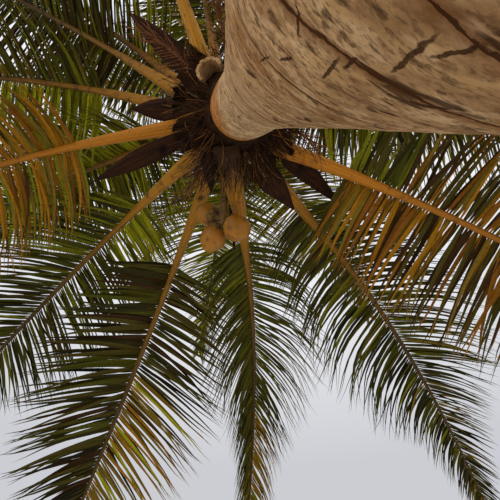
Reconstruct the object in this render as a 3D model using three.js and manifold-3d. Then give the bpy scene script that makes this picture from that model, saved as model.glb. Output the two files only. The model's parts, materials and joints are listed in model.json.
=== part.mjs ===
// A young coconut palm of the dwarf orange kind: one leaning ringed trunk, a heart of fibre and leaf bases,
// arching fronds cut to the rib between their leaflets, a spear leaf, dry spathes, old flower stalks, cut
// stubs and two bunches of nuts. Millimetres, +Z up. The trunk's flat cut lies on z = 0 round the origin.
import * as THREE from "three";
import { mergeVertices } from "three/addons/utils/BufferGeometryUtils.js";
import Module from "manifold-3d";

const wasm = await Module();
wasm.setup();

// Pieces that touch on the real palm stand this far apart.
const gap = 0.3;
const degree = Math.PI / 180;

// Trunk: height of the bark under the crown, radii, and the flare at the foot.
const trunkHeight = 4037;
const trunkRadius = 136;
const trunkEndRadius = 168;
const swellFrom = 3000;
const flareRadius = 108;
const flareHeight = 260;
const flareLobes = 5;
const trunkSides = 18;
const trunkSteps = 20;

// Heart of the crown: radii at heights above the bark's end, and the point that the fronds spread from.
const heartHeight = 1180;
const heartRadii = [172, 214, 240, 250, 232, 186, 128, 84, 40];
const heartSides = 14;
const crown = new THREE.Vector3(-329, 1541, 4568);
const crownLean = new THREE.Vector3(-0.12, 0.2, 1);

// Fronds: length of the whole leaf, leaflets on each side of a low frond and of a younger one, the longest
// leaflet, and the stalk's section at the base, where its bare part ends and at the tip.
const frondLength = 4300;
const leafletPairs = 18;
const youngPairs = 16;
const leafletLength = 900;
const leafletWidth = 108;
const leafletThick = 11;
const shortestLeaflet = 0.3;
const stalkWide = 118;
const stalkDeep = 70;
const ribWide = 46;
const ribTip = 11;
const stalkShare = 0.27;

// The eleven fronds of the open side: compass angle, rise at the base, bend over the length, sideways
// sweep, height of the base beside the crown's middle, how late the bend comes, how far the leaflets hang,
// the bare share of the length, and the leaflets' angle to the rib at its foot and how late it closes.
const openFronds = [
  [168, 13, 75, -2, 90, 1.14, 0.4, 0.22, 88, 1.4],
  [181.5, 43, 72, -1, 55, 1.15, 0.4, 0.24, 84, 1.6],
  [134, 23, 74, 7, 10, 1.08, 0.22, 0.2, 76, 1.3],
  [111, 3, 69, 12, 140, 1.08, 0.14, 0.25, 84, 1.2],
  [84, 34, 80, 13, -430, 1.17, 0.6, 0.19, 90, 0.7],
  [52, 19, 64, 11, -170, 1.21, 0.3, 0.16, 80, 1.5],
  [21, 3, 68, -3, -150, 1.19, 0.14, 0.15, 96, 1.5],
  [246, 41, 69, 1, -110, 1.23, 0.35, 0.24, 80, 1.4],
  [195.5, 50, 50, 11, 90, 1.25, 0.3, 0.26, 80, 1.4],
  [149, 42, 56, 11, 160, 1.2, 0.35, 0.2, 80, 1.4],
  [97, 51, 60, 4, 200, 1.2, 0.3, 0.17, 80, 1.4],
].map(([turn, rise, bend, sweep, height, late, hang, bare, fan, close]) => (
  { turn, rise, bend, sweep, height, late, hang, bare, fan, close }
));
const closedFan = 24;
// Low fronds on the trunk's side, evenly turned, and younger ones turned by the golden angle.
const plainFan = { fan: 80, close: 1.4 };
const backFronds = { count: 4, from: 272, step: 26.5, rise: 34, bend: 76, height: -60 };
const youngFronds = { count: 14, from: 10, step: 137.5, lowRise: 47, highRise: 81, climb: 520 };

// Spathes: root angle, height and distance out, then the boat's own angle, rise, length, width and curl.
const spathes = [
  { root: 222, height: 106, out: 130, turn: 217, rise: 34, long: 860, wide: 165, curl: -10 },
  { root: 150, height: -130, out: 130, turn: 155, rise: 2, long: 900, wide: 135, curl: -8 },
  { root: 165, height: -200, out: 225, turn: 80, rise: -8, long: 450, wide: 85, curl: -50 },
  { root: 84, height: -310, out: 225, turn: 50, rise: -4, long: 490, wide: 150, curl: -8 },
  { root: 32, height: -80, out: 130, turn: 44, rise: 6, long: 830, wide: 145, curl: -10 },
  { root: 92, height: -70, out: 130, turn: 91, rise: -6, long: 780, wide: 80, curl: -20 },
  { root: 176, height: 30, out: 130, turn: 175, rise: 27, long: 640, wide: 180, curl: -6 },
  { root: 300, height: -60, out: 130, turn: 296, rise: 20, long: 700, wide: 160, curl: -16 },
  { root: 350, height: 40, out: 130, turn: 352, rise: 26, long: 640, wide: 150, curl: -14 },
];

// Old flower stalks, each with dry spikelets on both sides.
const flowerStalks = [
  { root: 118, height: -120, rise: 2, long: 460, spikes: 8, spike: 240, sweep: 20 },
  { root: 224, height: 30, rise: 18, long: 560, spikes: 8, spike: 260, sweep: -10 },
  { root: 18, height: -160, rise: 8, long: 380, spikes: 7, spike: 220, sweep: 14 },
  { root: 262, height: -40, rise: 14, long: 480, spikes: 7, spike: 240, sweep: 0 },
];

// Bunches of nuts: where the stalk leaves the heart and how far out and down it hangs, then each nut's
// angle, distance and drop from the stalk's end and its size.
const nutWide = 165;
const nutLong = 185;
const bunches = [
  {
    root: 99, height: -120, reach: 713, drop: 186,
    nuts: [[24, 117, 61, 1], [-97, 92, 97, 1.02], [71, 114, -118, 0.95]],
  },
  {
    root: 305, height: -170, reach: 430, drop: 220,
    nuts: [[60, 90, 40, 1], [-70, 88, 60, 0.95], [180, 80, 70, 0.9]],
  },
];

// Cut stubs: one curved leaf base that stands off the heart, and three short pegs.
const leafBase = {
  root: 232, height: -250, from: 150, to: 262, drop: 150,
  radius: 74, thick: 18, spread: 200,
};
const pegs = [
  { root: 84, height: -330, to: 320, drop: 70, foot: 40, end: 24 },
  { root: 330, height: -260, to: 310, drop: 20, foot: 42, end: 34 },
  { root: 205, height: -240, to: 300, drop: 30, foot: 40, end: 32 },
];

// Colour and roughness of each kind of piece.
const looks = {
  bark: ["#b29878", 0.9],
  fibre: ["#4a3322", 1],
  gold: ["#a0862f", 0.6],
  green: ["#5c6a26", 0.6],
  olive: ["#3c4a1e", 0.6],
  husk: ["#33231a", 0.85],
  stub: ["#a88d68", 0.9],
  nut: ["#b5772f", 0.5],
  twig: ["#6b3f28", 0.9],
};
const openLooks = [
  "gold", "olive", "green", "olive", "olive", "olive", "gold", "green", "olive", "green", "green",
];

const point = (x, y, z) => new THREE.Vector3(x, y, z);
const up = point(0, 0, 1);
const mix = THREE.MathUtils.lerp;
const part = (t) => THREE.MathUtils.clamp(t, 0, 1);
const ease = (t) => THREE.MathUtils.smoothstep(t, 0, 1);

// An even number from 0 to 1 that depends only on its seed.
function chance(seed) {
  const wave = Math.sin(seed * 127.1 + 11.7) * 43758.5453;
  return wave - Math.floor(wave);
}

function heading(turn, rise) {
  const flat = Math.cos(rise * degree);
  return point(flat * Math.cos(turn * degree), flat * Math.sin(turn * degree), Math.sin(rise * degree));
}

// A closed geometry as a solid that can be joined and cut.
function solid(geometry) {
  const bare = geometry.clone();
  bare.deleteAttribute("normal");
  bare.deleteAttribute("uv");
  const merged = mergeVertices(bare, 1e-4);
  const vertProperties = new Float32Array(merged.attributes.position.array);
  const triVerts = new Uint32Array(merged.index.array);
  return new wasm.Manifold(new wasm.Mesh({ numProp: 3, vertProperties, triVerts }));
}

// An upright unit cylinder carried along a line: lineAt(t) is its middle, sizeAt(t, angle) its half width
// and half depth, and sideWay the direction of its width.
function sweep(lineAt, sizeAt, sides, steps, sideWay, wayAt = null) {
  const geometry = new THREE.CylinderGeometry(1, 1, 1, sides, steps);
  const spots = geometry.attributes.position;
  for (let i = 0; i < spots.count; i += 1) {
    const t = spots.getY(i) + 0.5;
    const near = Math.min(t, 0.999);
    const way = wayAt ? wayAt(t) : lineAt(near + 0.001).sub(lineAt(near)).normalize();
    const side = sideWay.clone().addScaledVector(way, -sideWay.dot(way)).normalize();
    const depth = side.clone().cross(way);
    const [wide, deep] = sizeAt(t, Math.atan2(spots.getZ(i), spots.getX(i)));
    const spot = lineAt(t).addScaledVector(side, spots.getX(i) * wide);
    spot.addScaledVector(depth, spots.getZ(i) * deep);
    spots.setXYZ(i, spot.x, spot.y, spot.z);
  }
  return solid(geometry);
}

// A value read from evenly spaced ones.
function between(values, t) {
  const place = part(t) * (values.length - 1);
  const low = Math.min(values.length - 2, Math.floor(place));
  return mix(values[low], values[low + 1], place - low);
}

// Trunk: it leans away from the foot and a little more under the crown.
function trunkLine(height) {
  const metres = height / 1000;
  return point(-40 * metres - 0.288 * metres ** 4, 306 * metres + 0.245 * metres ** 4, height);
}

function trunkWay(height) {
  return trunkLine(height + 5).sub(trunkLine(height - 5)).normalize();
}

function makeTrunk(extra) {
  const heightAt = (t) => trunkHeight * t ** 1.35 + (t === 1 ? extra : 0);
  const sizeAt = (t, angle) => {
    const height = heightAt(t);
    const foot = Math.exp(-height / flareHeight);
    const swell = (trunkEndRadius - trunkRadius) * ease((height - swellFrom) / (trunkHeight - swellFrom));
    const plain = trunkRadius + flareRadius * foot + 8 * Math.exp(-height / 1300) + swell;
    const radius = plain * (1 + 0.07 * foot * Math.cos(flareLobes * angle + 0.6)) + extra;
    return [radius, radius];
  };
  const wayAt = (t) => up.clone().lerp(trunkWay(heightAt(t)), ease(heightAt(t) / 500)).normalize();
  return sweep((t) => trunkLine(heightAt(t)), sizeAt, trunkSides, trunkSteps, point(1, 0, 0), wayAt);
}

// Heart: it carries on from the bark's end and rights itself a little.
function heartLine(height) {
  const way = trunkWay(trunkHeight).lerp(crownLean, 0.55 * part(height / heartHeight)).normalize();
  return trunkLine(trunkHeight).addScaledVector(way, height);
}

function makeHeart(extra) {
  const rings = heartRadii.length - 1;
  const lineAt = (t) => heartLine(mix(gap - extra, heartHeight + extra, t));
  const sizeAt = (t, angle) => {
    const lump = t > 0 && t < 1 ? 8 * Math.sin(angle * 5 + t * 12) : 0;
    const radius = between(heartRadii, t) + extra + lump;
    return [radius, radius];
  };
  return sweep(lineAt, sizeAt, heartSides, rings, point(1, 0, 0), () => trunkWay(trunkHeight));
}

// A spot beside the heart, by compass angle, height beside the crown's middle and distance out.
function besideHeart(turn, height, out) {
  return heartLine((crown.z + height - trunkHeight) / 0.93).addScaledVector(heading(turn, 0), out);
}

// Fronds: the low open ones, the low back ones, and the younger ones that climb the crown.
function frondPlans() {
  const open = openFronds.map((frond) => ({
    ...frond,
    pairs: leafletPairs,
    long: frondLength,
    out: 160,
    base: crown.clone().addScaledVector(up, frond.height),
  }));
  const back = Array.from({ length: backFronds.count }, (_, k) => ({
    ...plainFan,
    pairs: leafletPairs,
    turn: backFronds.from + backFronds.step * k,
    rise: backFronds.rise + 4 * (chance(k + 3) - 0.5),
    bend: backFronds.bend + 8 * (chance(k + 9) - 0.5),
    sweep: 6 * (chance(k) - 0.5),
    late: 1.18,
    hang: 0.4,
    bare: 0.2,
    long: frondLength - 150 * chance(k + 1),
    out: 160,
    base: crown.clone().add(point(20, -20, backFronds.height + (k % 2 ? 30 : -30))),
  }));
  const young = Array.from({ length: youngFronds.count }, (_, k) => {
    const age = k / (youngFronds.count - 1);
    return {
      ...plainFan,
      pairs: youngPairs,
      turn: youngFronds.from + youngFronds.step * k,
      rise: mix(youngFronds.lowRise, youngFronds.highRise, age ** 0.9),
      bend: mix(76, 40, age),
      sweep: 10 * (chance(k + 20) - 0.5),
      late: 1.25,
      hang: mix(0.3, 0.08, age),
      bare: 0.17,
      long: frondLength * mix(1, 0.78, age ** 1.5),
      out: mix(140, 40, age),
      base: crown.clone().addScaledVector(crownLean, mix(40, youngFronds.climb, age)),
    };
  });
  return [...open, ...back, ...young];
}

function frondWay(plan, along) {
  const t = Math.max(0, along / plan.long);
  return heading(plan.turn + plan.sweep * t ** 1.5, plan.rise - plan.bend * t ** plan.late);
}

function frondSpot(plan, along) {
  const spot = plan.base.clone().addScaledVector(heading(plan.turn, 0), plan.out);
  const steps = Math.max(1, Math.round(Math.abs(along) / 50));
  for (let i = 0; i < steps; i += 1) {
    spot.addScaledVector(frondWay(plan, ((i + 0.5) / steps) * along), along / steps);
  }
  return spot;
}

// Width and depth of the stalk and rib at a share of the frond's length.
function ribSize(share) {
  const t = Math.max(0, share);
  if (t < stalkShare) {
    const bare = t / stalkShare;
    const sheath = 26 * Math.exp(-22 * t);
    return [mix(stalkWide, ribWide, bare) + sheath, mix(stalkDeep, ribWide * 0.87, bare)];
  }
  const far = (t - stalkShare) / (1 - stalkShare);
  return [mix(ribWide, ribTip, far), mix(ribWide * 0.87, ribTip, far)];
}

// A leaflet at a share of the leafy length: its size, and its ways before and after its bend.
function leafletShape(plan, frame, share, side) {
  const dip = mix(0.12, 0.3, plan.hang);
  const spread = mix(plan.fan, closedFan, share ** plan.close) * degree;
  const hang = plan.hang * mix(1.1, 0.8, share);
  const shorter = mix(1, 0.42, ease((share - 0.45) / 0.55));
  const full = (0.62 + 0.38 * Math.sin(Math.PI * part(share * 1.6))) * shorter;
  const outward = frame.right.clone().multiplyScalar(side * Math.cos(dip));
  outward.addScaledVector(frame.over, -Math.sin(dip));
  const first = frame.way.clone().multiplyScalar(Math.cos(spread));
  first.addScaledVector(outward, Math.sin(spread));
  const second = first.clone().multiplyScalar(1 - hang).addScaledVector(up, -hang).normalize();
  const long = (leafletLength * full * plan.long) / frondLength;
  return { first, second, long, wide: leafletWidth * mix(1, 0.55, share) };
}

function frondFrame(plan, along, extra) {
  const spot = frondSpot(plan, along);
  const way = frondWay(plan, along);
  const right = way.clone().cross(up).normalize();
  const over = right.clone().cross(way);
  const [wide, deep] = ribSize(along / plan.long);
  const slope = Math.hypot(wide / 2, deep);
  const widen = (extra * (slope + wide / 2)) / deep;
  const top = spot.clone().addScaledVector(over, deep * 0.35 + extra);
  const edge = wide / 2 + widen;
  const corners = [
    top.clone().addScaledVector(right, -edge),
    top.clone().addScaledVector(right, edge),
    spot.clone().addScaledVector(over, -deep * 0.65 - (extra * slope) / (wide / 2)),
  ];
  return { spot, way, right, over, widen, corners };
}

// One frond as a single closed skin: a three-sided rib whose side faces open into the leaflets. A leaflet
// keeps its share of its length, or none, in keep. Grown by extra all round, it is used for clearances.
function makeFrond(plan, keep, extra) {
  const marks = [-240, -60, 150, plan.long * plan.bare * 0.6];
  const bareMarks = marks.length;
  for (let i = 0; i <= plan.pairs; i += 1) {
    marks.push(plan.long * mix(plan.bare, 0.985, i / plan.pairs));
  }
  const frames = marks.map((along) => frondFrame(plan, along, extra));
  const corners = frames.flatMap((frame) => frame.corners);
  const faces = [[0, 2, 1]];
  const leaflets = [];
  const blade = { corners, faces, extra };
  for (let i = 0; i + 1 < frames.length; i += 1) {
    const [left, right, keel, nextLeft, nextRight, nextKeel] = [0, 1, 2, 3, 4, 5].map((n) => i * 3 + n);
    faces.push([left, right, nextRight], [left, nextRight, nextLeft]);
    for (const side of [-1, 1]) {
      const slot = (i - bareMarks) * 2 + (side > 0 ? 1 : 0);
      const kept = i < bareMarks ? 0 : keep[slot];
      const loop = side < 0 ? [left, nextLeft, nextKeel, keel] : [nextRight, right, keel, nextKeel];
      if (kept > 0) {
        const share = (i - bareMarks + 0.5) / plan.pairs;
        const shape = leafletShape(plan, frames[i], share, side);
        leaflets.push({ slot, ...growLeaflet(blade, loop, shape, frames[i], kept, side) });
      } else {
        faces.push([loop[0], loop[1], loop[2]], [loop[0], loop[2], loop[3]]);
      }
    }
  }
  const last = (frames.length - 1) * 3;
  faces.push([last, last + 1, last + 2]);
  return { body: skin(corners, faces), leaflets, frames };
}

// Adds a leaflet over the open side face that loop goes round: upper edge first, then the keel.
function growLeaflet({ corners, faces, extra }, loop, shape, frame, kept, side) {
  const { way, right, over, widen } = frame;
  const from = corners[loop[0]].clone().add(corners[loop[1]]).multiplyScalar(0.5);
  from.addScaledVector(right, -side * widen).addScaledVector(over, -extra);
  const long = shape.long * kept;
  const across = way.clone().addScaledVector(shape.first, -way.dot(shape.first)).normalize();
  const under = shape.first.clone().cross(across).multiplyScalar(-side).normalize();
  const bend = from.clone().addScaledVector(shape.first, long * 0.45);
  const tip = bend.clone().addScaledVector(shape.second, long * 0.55 + extra);
  const half = (shape.wide / 2) * mix(0.75, 1, kept) + extra;
  const high = bend.clone().addScaledVector(under, -extra);
  const firstEdge = high.clone().addScaledVector(across, side * half);
  const secondEdge = high.clone().addScaledVector(across, -side * half);
  const keel = bend.clone().addScaledVector(under, leafletThick + extra);
  const [a, b, c, d] = loop;
  const n = corners.length;
  corners.push(firstEdge, secondEdge, keel, tip);
  faces.push([a, b, n + 1], [a, n + 1, n], [b, c, n + 2], [b, n + 2, n + 1], [c, d, n + 2]);
  faces.push([d, a, n], [d, n, n + 2], [n, n + 1, n + 3], [n + 1, n + 2, n + 3], [n + 2, n, n + 3]);
  return { from, bend, tip };
}

function skin(corners, faces) {
  const geometry = new THREE.BufferGeometry().setFromPoints(corners);
  geometry.setIndex(faces.flat());
  return solid(geometry);
}

function distanceTo(a, b, spot) {
  const near = new THREE.Line3(a, b).closestPointToPoint(spot, true, point(0, 0, 0));
  return { gap: near.distanceTo(spot), share: near.distanceTo(a) / a.distanceTo(b) };
}

function nearestLeaflet(frond, spot) {
  let best = { gap: Infinity, slot: -1, share: 1 };
  for (const { slot, from, bend, tip } of frond.leaflets) {
    const low = distanceTo(from, bend, spot);
    const high = distanceTo(bend, tip, spot);
    if (low.gap < best.gap) best = { gap: low.gap, slot, share: low.share * 0.45 };
    if (high.gap < best.gap) best = { gap: high.gap, slot, share: 0.45 + high.share * 0.55 };
  }
  return best;
}

function ribDistance(frond, spot) {
  const { frames } = frond;
  return Math.min(...frames.slice(1).map((frame, i) => distanceTo(frames[i].spot, frame.spot, spot).gap));
}

// The middle of each region that two solids share.
function sharedSpots(a, b) {
  const shared = a.intersect(b);
  if (shared.isEmpty()) return [];
  return shared.decompose().map((region) => {
    const { min, max } = region.boundingBox();
    return point(...min).add(point(...max)).multiplyScalar(0.5);
  });
}

function trim(frond, leaflet) {
  const left = frond.keep[leaflet.slot] * leaflet.share * 0.93;
  frond.keep[leaflet.slot] = left < shortestLeaflet ? 0 : left;
  frond.stale = true;
}

// Where two fronds cross, the leaflet that is crossed nearer its tip is shortened, or left out when little
// would remain. Where two stalks cross, the later frond is cut clear of the earlier one.
function settle(a, b) {
  for (const spot of sharedSpots(a.body, b.body)) {
    const [leafA, leafB] = [nearestLeaflet(a, spot), nearestLeaflet(b, spot)];
    const stalkA = ribDistance(a, spot) <= leafA.gap;
    const stalkB = ribDistance(b, spot) <= leafB.gap;
    if (stalkA && stalkB) {
      if (!b.after.includes(a)) b.after.push(a);
    } else if (stalkA || (!stalkB && leafB.share > leafA.share)) {
      trim(b, leafB);
    } else {
      trim(a, leafA);
    }
  }
}

function growFronds(limbs) {
  const whole = (plan) => Array(plan.pairs * 2).fill(1);
  const fronds = frondPlans().map((plan) => ({ plan, keep: whole(plan), stale: true, after: [] }));
  while (fronds.some((frond) => frond.stale)) {
    for (const frond of fronds.filter((one) => one.stale)) {
      Object.assign(frond, makeFrond(frond.plan, frond.keep, gap), { stale: false });
    }
    for (const frond of fronds) {
      for (const spot of limbs.flatMap((limb) => sharedSpots(frond.body, limb))) {
        const leaflet = nearestLeaflet(frond, spot);
        if (leaflet.gap < ribDistance(frond, spot)) trim(frond, leaflet);
      }
    }
    fronds.forEach((frond, i) => fronds.slice(i + 1).forEach((later) => settle(frond, later)));
  }
  return fronds;
}

// A solid with others cut away, without the loose scraps.
function cutClear(body, others) {
  const cut = (rest, other) => (rest.intersect(other).isEmpty() ? rest : rest.subtract(other));
  return others.reduce(cut, body).decompose().sort((a, b) => b.volume() - a.volume())[0];
}

// A dry spathe: a long boat, hollow on top, pointed at its end.
function makeSpathe({ root, height, out, turn, rise, long, wide, curl }) {
  const side = heading(turn + 90, 0);
  const start = besideHeart(root, height, out);
  const lineAt = (t) => {
    const spot = start.clone();
    for (let i = 0; i < 8; i += 1) {
      spot.addScaledVector(heading(turn, rise + (curl * t * (i + 0.5)) / 8), (long * t) / 8);
    }
    return spot;
  };
  const sizeAt = (t, angle) => {
    const pointed = mix(1, 0.06, part((t - 0.5) / 0.5) ** 1.6);
    const half = (wide / 2) * mix(0.24, 1, ease(t / 0.5)) * pointed;
    const hollow = Math.sin(angle) > 0.5 ? 0.12 : 0.42;
    return [half, half * hollow];
  };
  return sweep(lineAt, sizeAt, 6, 7, side);
}

// A stalk through a few spots, tapering evenly.
function makeStalk(spots, foot, end, sides, steps) {
  const curve = new THREE.CatmullRomCurve3(spots);
  const sizeAt = (t) => [mix(foot, end, t), mix(foot, end, t)];
  return sweep((t) => curve.getPoint(t), sizeAt, sides, steps, point(0.3, 0.2, 0.9));
}

// A geometry that stands along Y, turned to a way and put at a spot.
function stand(geometry, spot, way) {
  const turned = new THREE.Quaternion().setFromUnitVectors(point(0, 1, 0), way);
  return geometry.applyQuaternion(turned).translate(spot.x, spot.y, spot.z);
}

function makeFlowerStalk({ root, height, rise, long, spikes, spike, sweep: turnBy }) {
  const spots = [besideHeart(root, height, 140)];
  for (let k = 0; k < 4; k += 1) {
    const way = heading(root + (turnBy * k) / 4, rise - (30 * k) / 4);
    spots.push(spots[k].clone().addScaledVector(way, long / 4));
  }
  const curve = new THREE.CatmullRomCurve3(spots);
  let stalk = makeStalk(spots, 17, 6, 4, 5);
  for (let i = 0; i < spikes; i += 1) {
    const side = (i % 2 ? 1 : -1) * mix(70, 25, i / spikes);
    const way = heading(root + turnBy + side, rise - 25 - 50 * chance(i + root));
    const spikeLong = spike * (0.75 + 0.4 * chance(i * 3 + root));
    const middle = curve.getPoint(mix(0.35, 0.97, i / (spikes - 1))).addScaledVector(way, spikeLong / 2);
    const cone = new THREE.ConeGeometry(7, spikeLong, 3);
    stalk = stalk.add(solid(stand(cone, middle, way)));
  }
  return stalk;
}

// A bunch: a stout stalk over the leaf bases, with nuts held close round its end.
function makeBunch({ root, height, reach, drop, nuts }) {
  const hang = besideHeart(root, height - drop, reach);
  const shoulder = besideHeart(root, height - drop * 0.2, reach * 0.72);
  let bunch = makeStalk([besideHeart(root, height, 120), shoulder, hang], 30, 20, 5, 3);
  for (const [turn, out, low, size] of nuts) {
    const middle = hang.clone().addScaledVector(heading(root + turn, 0), out).addScaledVector(up, -low);
    const way = middle.clone().sub(hang).normalize();
    const nut = new THREE.SphereGeometry(0.5, 7, 6).scale(size * nutWide, size * nutLong, size * nutWide);
    const neck = makeStalk([hang.clone().addScaledVector(way, -8), middle], 16, 18, 4, 1);
    bunch = bunch.add(solid(stand(nut, middle, way))).add(neck);
  }
  return bunch;
}

// A cut leaf base: an arc of sheath that stands off the heart, open on its inner side.
function makeLeafBase({ root, height, from, to, drop, radius, thick, spread }) {
  const start = besideHeart(root, height, from);
  const end = besideHeart(root, height - drop, to);
  const half = (spread / 2) * degree;
  const arc = new THREE.Shape().absarc(0, 0, radius, Math.PI / 2 - half, Math.PI / 2 + half, false);
  arc.absarc(0, 0, radius - thick, Math.PI / 2 + half, Math.PI / 2 - half, true);
  const settings = { depth: start.distanceTo(end), steps: 1, bevelEnabled: false, curveSegments: 6 };
  const sheath = new THREE.ExtrudeGeometry(arc, settings);
  const way = end.clone().sub(start).normalize();
  const side = heading(root, 0).cross(way).normalize();
  const basis = new THREE.Matrix4().makeBasis(side, way.clone().cross(side), way).setPosition(start);
  return solid(sheath.applyMatrix4(basis));
}

function makePeg({ root, height, to, drop, foot, end }) {
  const start = besideHeart(root, height, 110);
  const tip = besideHeart(root, height - drop, to);
  const way = tip.clone().sub(start);
  const peg = new THREE.CylinderGeometry(end, foot, way.length(), 8);
  return solid(stand(peg, start.lerp(tip, 0.5), way.normalize()));
}

function makeSpear() {
  const spots = [1080, 1500, 2100, 2750].map(heartLine);
  return makeStalk(spots, 38, 7, 6, 5);
}

function meshOf(body, name, kind) {
  const { vertProperties, triVerts } = body.getMesh();
  const geometry = new THREE.BufferGeometry();
  geometry.setAttribute("position", new THREE.BufferAttribute(new Float32Array(vertProperties), 3));
  geometry.setIndex(new THREE.BufferAttribute(new Uint32Array(triVerts), 1));
  geometry.computeVertexNormals();
  const [color, roughness] = looks[kind];
  const mesh = new THREE.Mesh(geometry, new THREE.MeshStandardMaterial({ color, roughness, metalness: 0 }));
  mesh.name = name;
  return mesh;
}

function buildPalm() {
  const palm = new THREE.Group();
  palm.add(meshOf(makeTrunk(0), "trunk", "bark"), meshOf(makeHeart(0), "crown_heart", "fibre"));
  const limbs = [makeTrunk(gap), makeHeart(gap)];
  const fronds = growFronds(limbs);
  fronds.forEach((frond, i) => {
    const earlier = frond.after.map((other) => other.body);
    const body = cutClear(makeFrond(frond.plan, frond.keep, 0).body, [...limbs, ...earlier]);
    const name = `frond_${String(i + 1).padStart(2, "0")}`;
    palm.add(meshOf(body, name, openLooks[i] || (i % 3 ? "green" : "gold")));
  });
  const taken = [...limbs, ...fronds.map((frond) => frond.body)];
  const place = (bodies, name, kind) => bodies.forEach((body, i) => {
    const clear = cutClear(body, taken);
    taken.push(clear);
    palm.add(meshOf(clear, bodies.length > 1 ? `${name}_${i + 1}` : name, kind));
  });
  place(bunches.map(makeBunch), "nut_bunch", "nut");
  place(spathes.map(makeSpathe), "spathe", "husk");
  place([makeLeafBase(leafBase)], "cut_leaf_base", "stub");
  place(pegs.map(makePeg), "cut_stalk", "stub");
  place(flowerStalks.map(makeFlowerStalk), "flower_stalk", "twig");
  place([makeSpear()], "spear_leaf", "gold");
  return palm;
}

export default buildPalm();
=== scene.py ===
import json
import math

import bpy
import numpy as np
from mathutils import Matrix, Vector

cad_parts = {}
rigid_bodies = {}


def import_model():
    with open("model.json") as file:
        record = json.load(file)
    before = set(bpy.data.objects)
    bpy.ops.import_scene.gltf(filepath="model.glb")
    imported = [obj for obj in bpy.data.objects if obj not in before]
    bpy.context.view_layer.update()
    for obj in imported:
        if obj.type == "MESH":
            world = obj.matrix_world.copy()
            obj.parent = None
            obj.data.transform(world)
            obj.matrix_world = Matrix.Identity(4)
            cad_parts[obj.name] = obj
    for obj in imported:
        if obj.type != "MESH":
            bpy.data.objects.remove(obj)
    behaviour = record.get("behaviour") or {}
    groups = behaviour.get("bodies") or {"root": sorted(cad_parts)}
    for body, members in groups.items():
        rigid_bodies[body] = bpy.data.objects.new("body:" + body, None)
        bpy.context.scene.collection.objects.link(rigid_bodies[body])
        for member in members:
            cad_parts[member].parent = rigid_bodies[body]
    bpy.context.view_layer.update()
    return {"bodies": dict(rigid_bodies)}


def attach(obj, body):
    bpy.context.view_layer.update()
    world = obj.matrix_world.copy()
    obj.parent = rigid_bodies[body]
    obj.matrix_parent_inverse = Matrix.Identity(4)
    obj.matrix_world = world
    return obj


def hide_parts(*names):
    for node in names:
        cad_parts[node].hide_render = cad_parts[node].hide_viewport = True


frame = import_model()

palmBody = sorted(frame["bodies"])[0]
up = np.array([0.0, 0.0, 1.0])
east = np.array([1.0, 0.0, 0.0])
aslant = np.array([0.3, 0.2, 0.9])  # a side way for thin stalks, none of which runs along it
goldenAngle = 137.5
seed = 11


def mix(a, b, t):
    return a + (b - a) * t


def ease(t):
    t = np.clip(t, 0, 1)
    return t * t * (3 - 2 * t)


def unit(v):
    return v / np.maximum(np.linalg.norm(v, axis=-1, keepdims=True), 1e-9)


def dot(a, b):
    return (a * b).sum(axis=-1, keepdims=True)


def heading(turn, rise):
    turn, rise = np.broadcast_arrays(np.radians(turn), np.radians(rise))
    return np.stack([np.cos(rise) * np.cos(turn), np.cos(rise) * np.sin(turn), np.sin(rise)], axis=-1)


def chance(k):
    wave = math.sin(k * 127.1 + 11.7) * 43758.5453
    return wave - math.floor(wave)


def between(values, t):
    return np.interp(t, np.linspace(0, 1, len(values)), values)


# Angles once round, the last one on the first.
def circle(sides, start=0.0):
    return np.linspace(start, start + 2 * math.pi, sides + 1)


def angleTo(angle, turn):
    return (angle - turn + math.pi) % (2 * math.pi) - math.pi


# Places on a line of points whose distances are the knots.
def onLine(line, knots, at):
    return np.stack([np.interp(at, knots, line[:, i]) for i in range(3)], axis=-1)


# A smooth line through a few spots.
def smoothLine(spots, count):
    spots = np.array(spots)
    padded = np.vstack([2 * spots[0] - spots[1], spots, 2 * spots[-1] - spots[-2]])
    t = np.linspace(0, len(spots) - 1, count)
    k = np.minimum(t.astype(int), len(spots) - 2)
    f = (t - k)[:, None]
    a, b, c, d = padded[k], padded[k + 1], padded[k + 2], padded[k + 3]
    return 0.5 * (2 * b + (c - a) * f + (2 * a - 5 * b + 4 * c - d) * f**2 + (3 * b - a - 3 * c + d) * f**3)


def pick(piece):
    bpy.ops.object.select_all(action="DESELECT")
    piece.select_set(True)
    bpy.context.view_layer.objects.active = piece


def named(name):
    piece = bpy.context.object
    piece.name = piece.data.name = name
    return piece


def addObject(name, data):
    piece = bpy.data.objects.new(name, data)
    bpy.context.collection.objects.link(piece)
    return piece


def readSpots(piece):
    spots = np.empty(len(piece.data.vertices) * 3)
    piece.data.vertices.foreach_get("co", spots)
    return spots.reshape(-1, 3)


def writeSpots(piece, spots):
    piece.data.vertices.foreach_set("co", spots.reshape(-1))
    piece.data.update()


# The piece's mesh is turned from upright to a way and moved to its middle.
def stand(piece, middle, way):
    turned = Vector((0, 0, 1)).rotation_difference(Vector(way)).to_matrix().to_4x4()
    piece.data.transform(Matrix.Translation(Vector(middle)) @ turned)


def smoothUnder(degrees):
    bpy.ops.object.shade_smooth_by_angle(angle=math.radians(degrees))


# A mesh operator on the whole of the active piece.
def onAll(operator, **settings):
    bpy.ops.object.mode_set(mode="EDIT")
    bpy.ops.mesh.select_all(action="SELECT")
    operator(**settings)
    bpy.ops.object.mode_set(mode="OBJECT")


def modify(piece, kind, **settings):
    modifier = piece.modifiers.new(kind.title(), kind)
    for key, value in settings.items():
        setattr(modifier, key, value)
    pick(piece)
    bpy.ops.object.modifier_apply(modifier=modifier.name)


def addLumps(piece, size, out, detail=2):
    lumps = bpy.data.textures.new("lumps", "CLOUDS")
    lumps.noise_scale, lumps.noise_depth = size, detail
    modify(piece, "DISPLACE", texture=lumps, strength=out)


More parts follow.
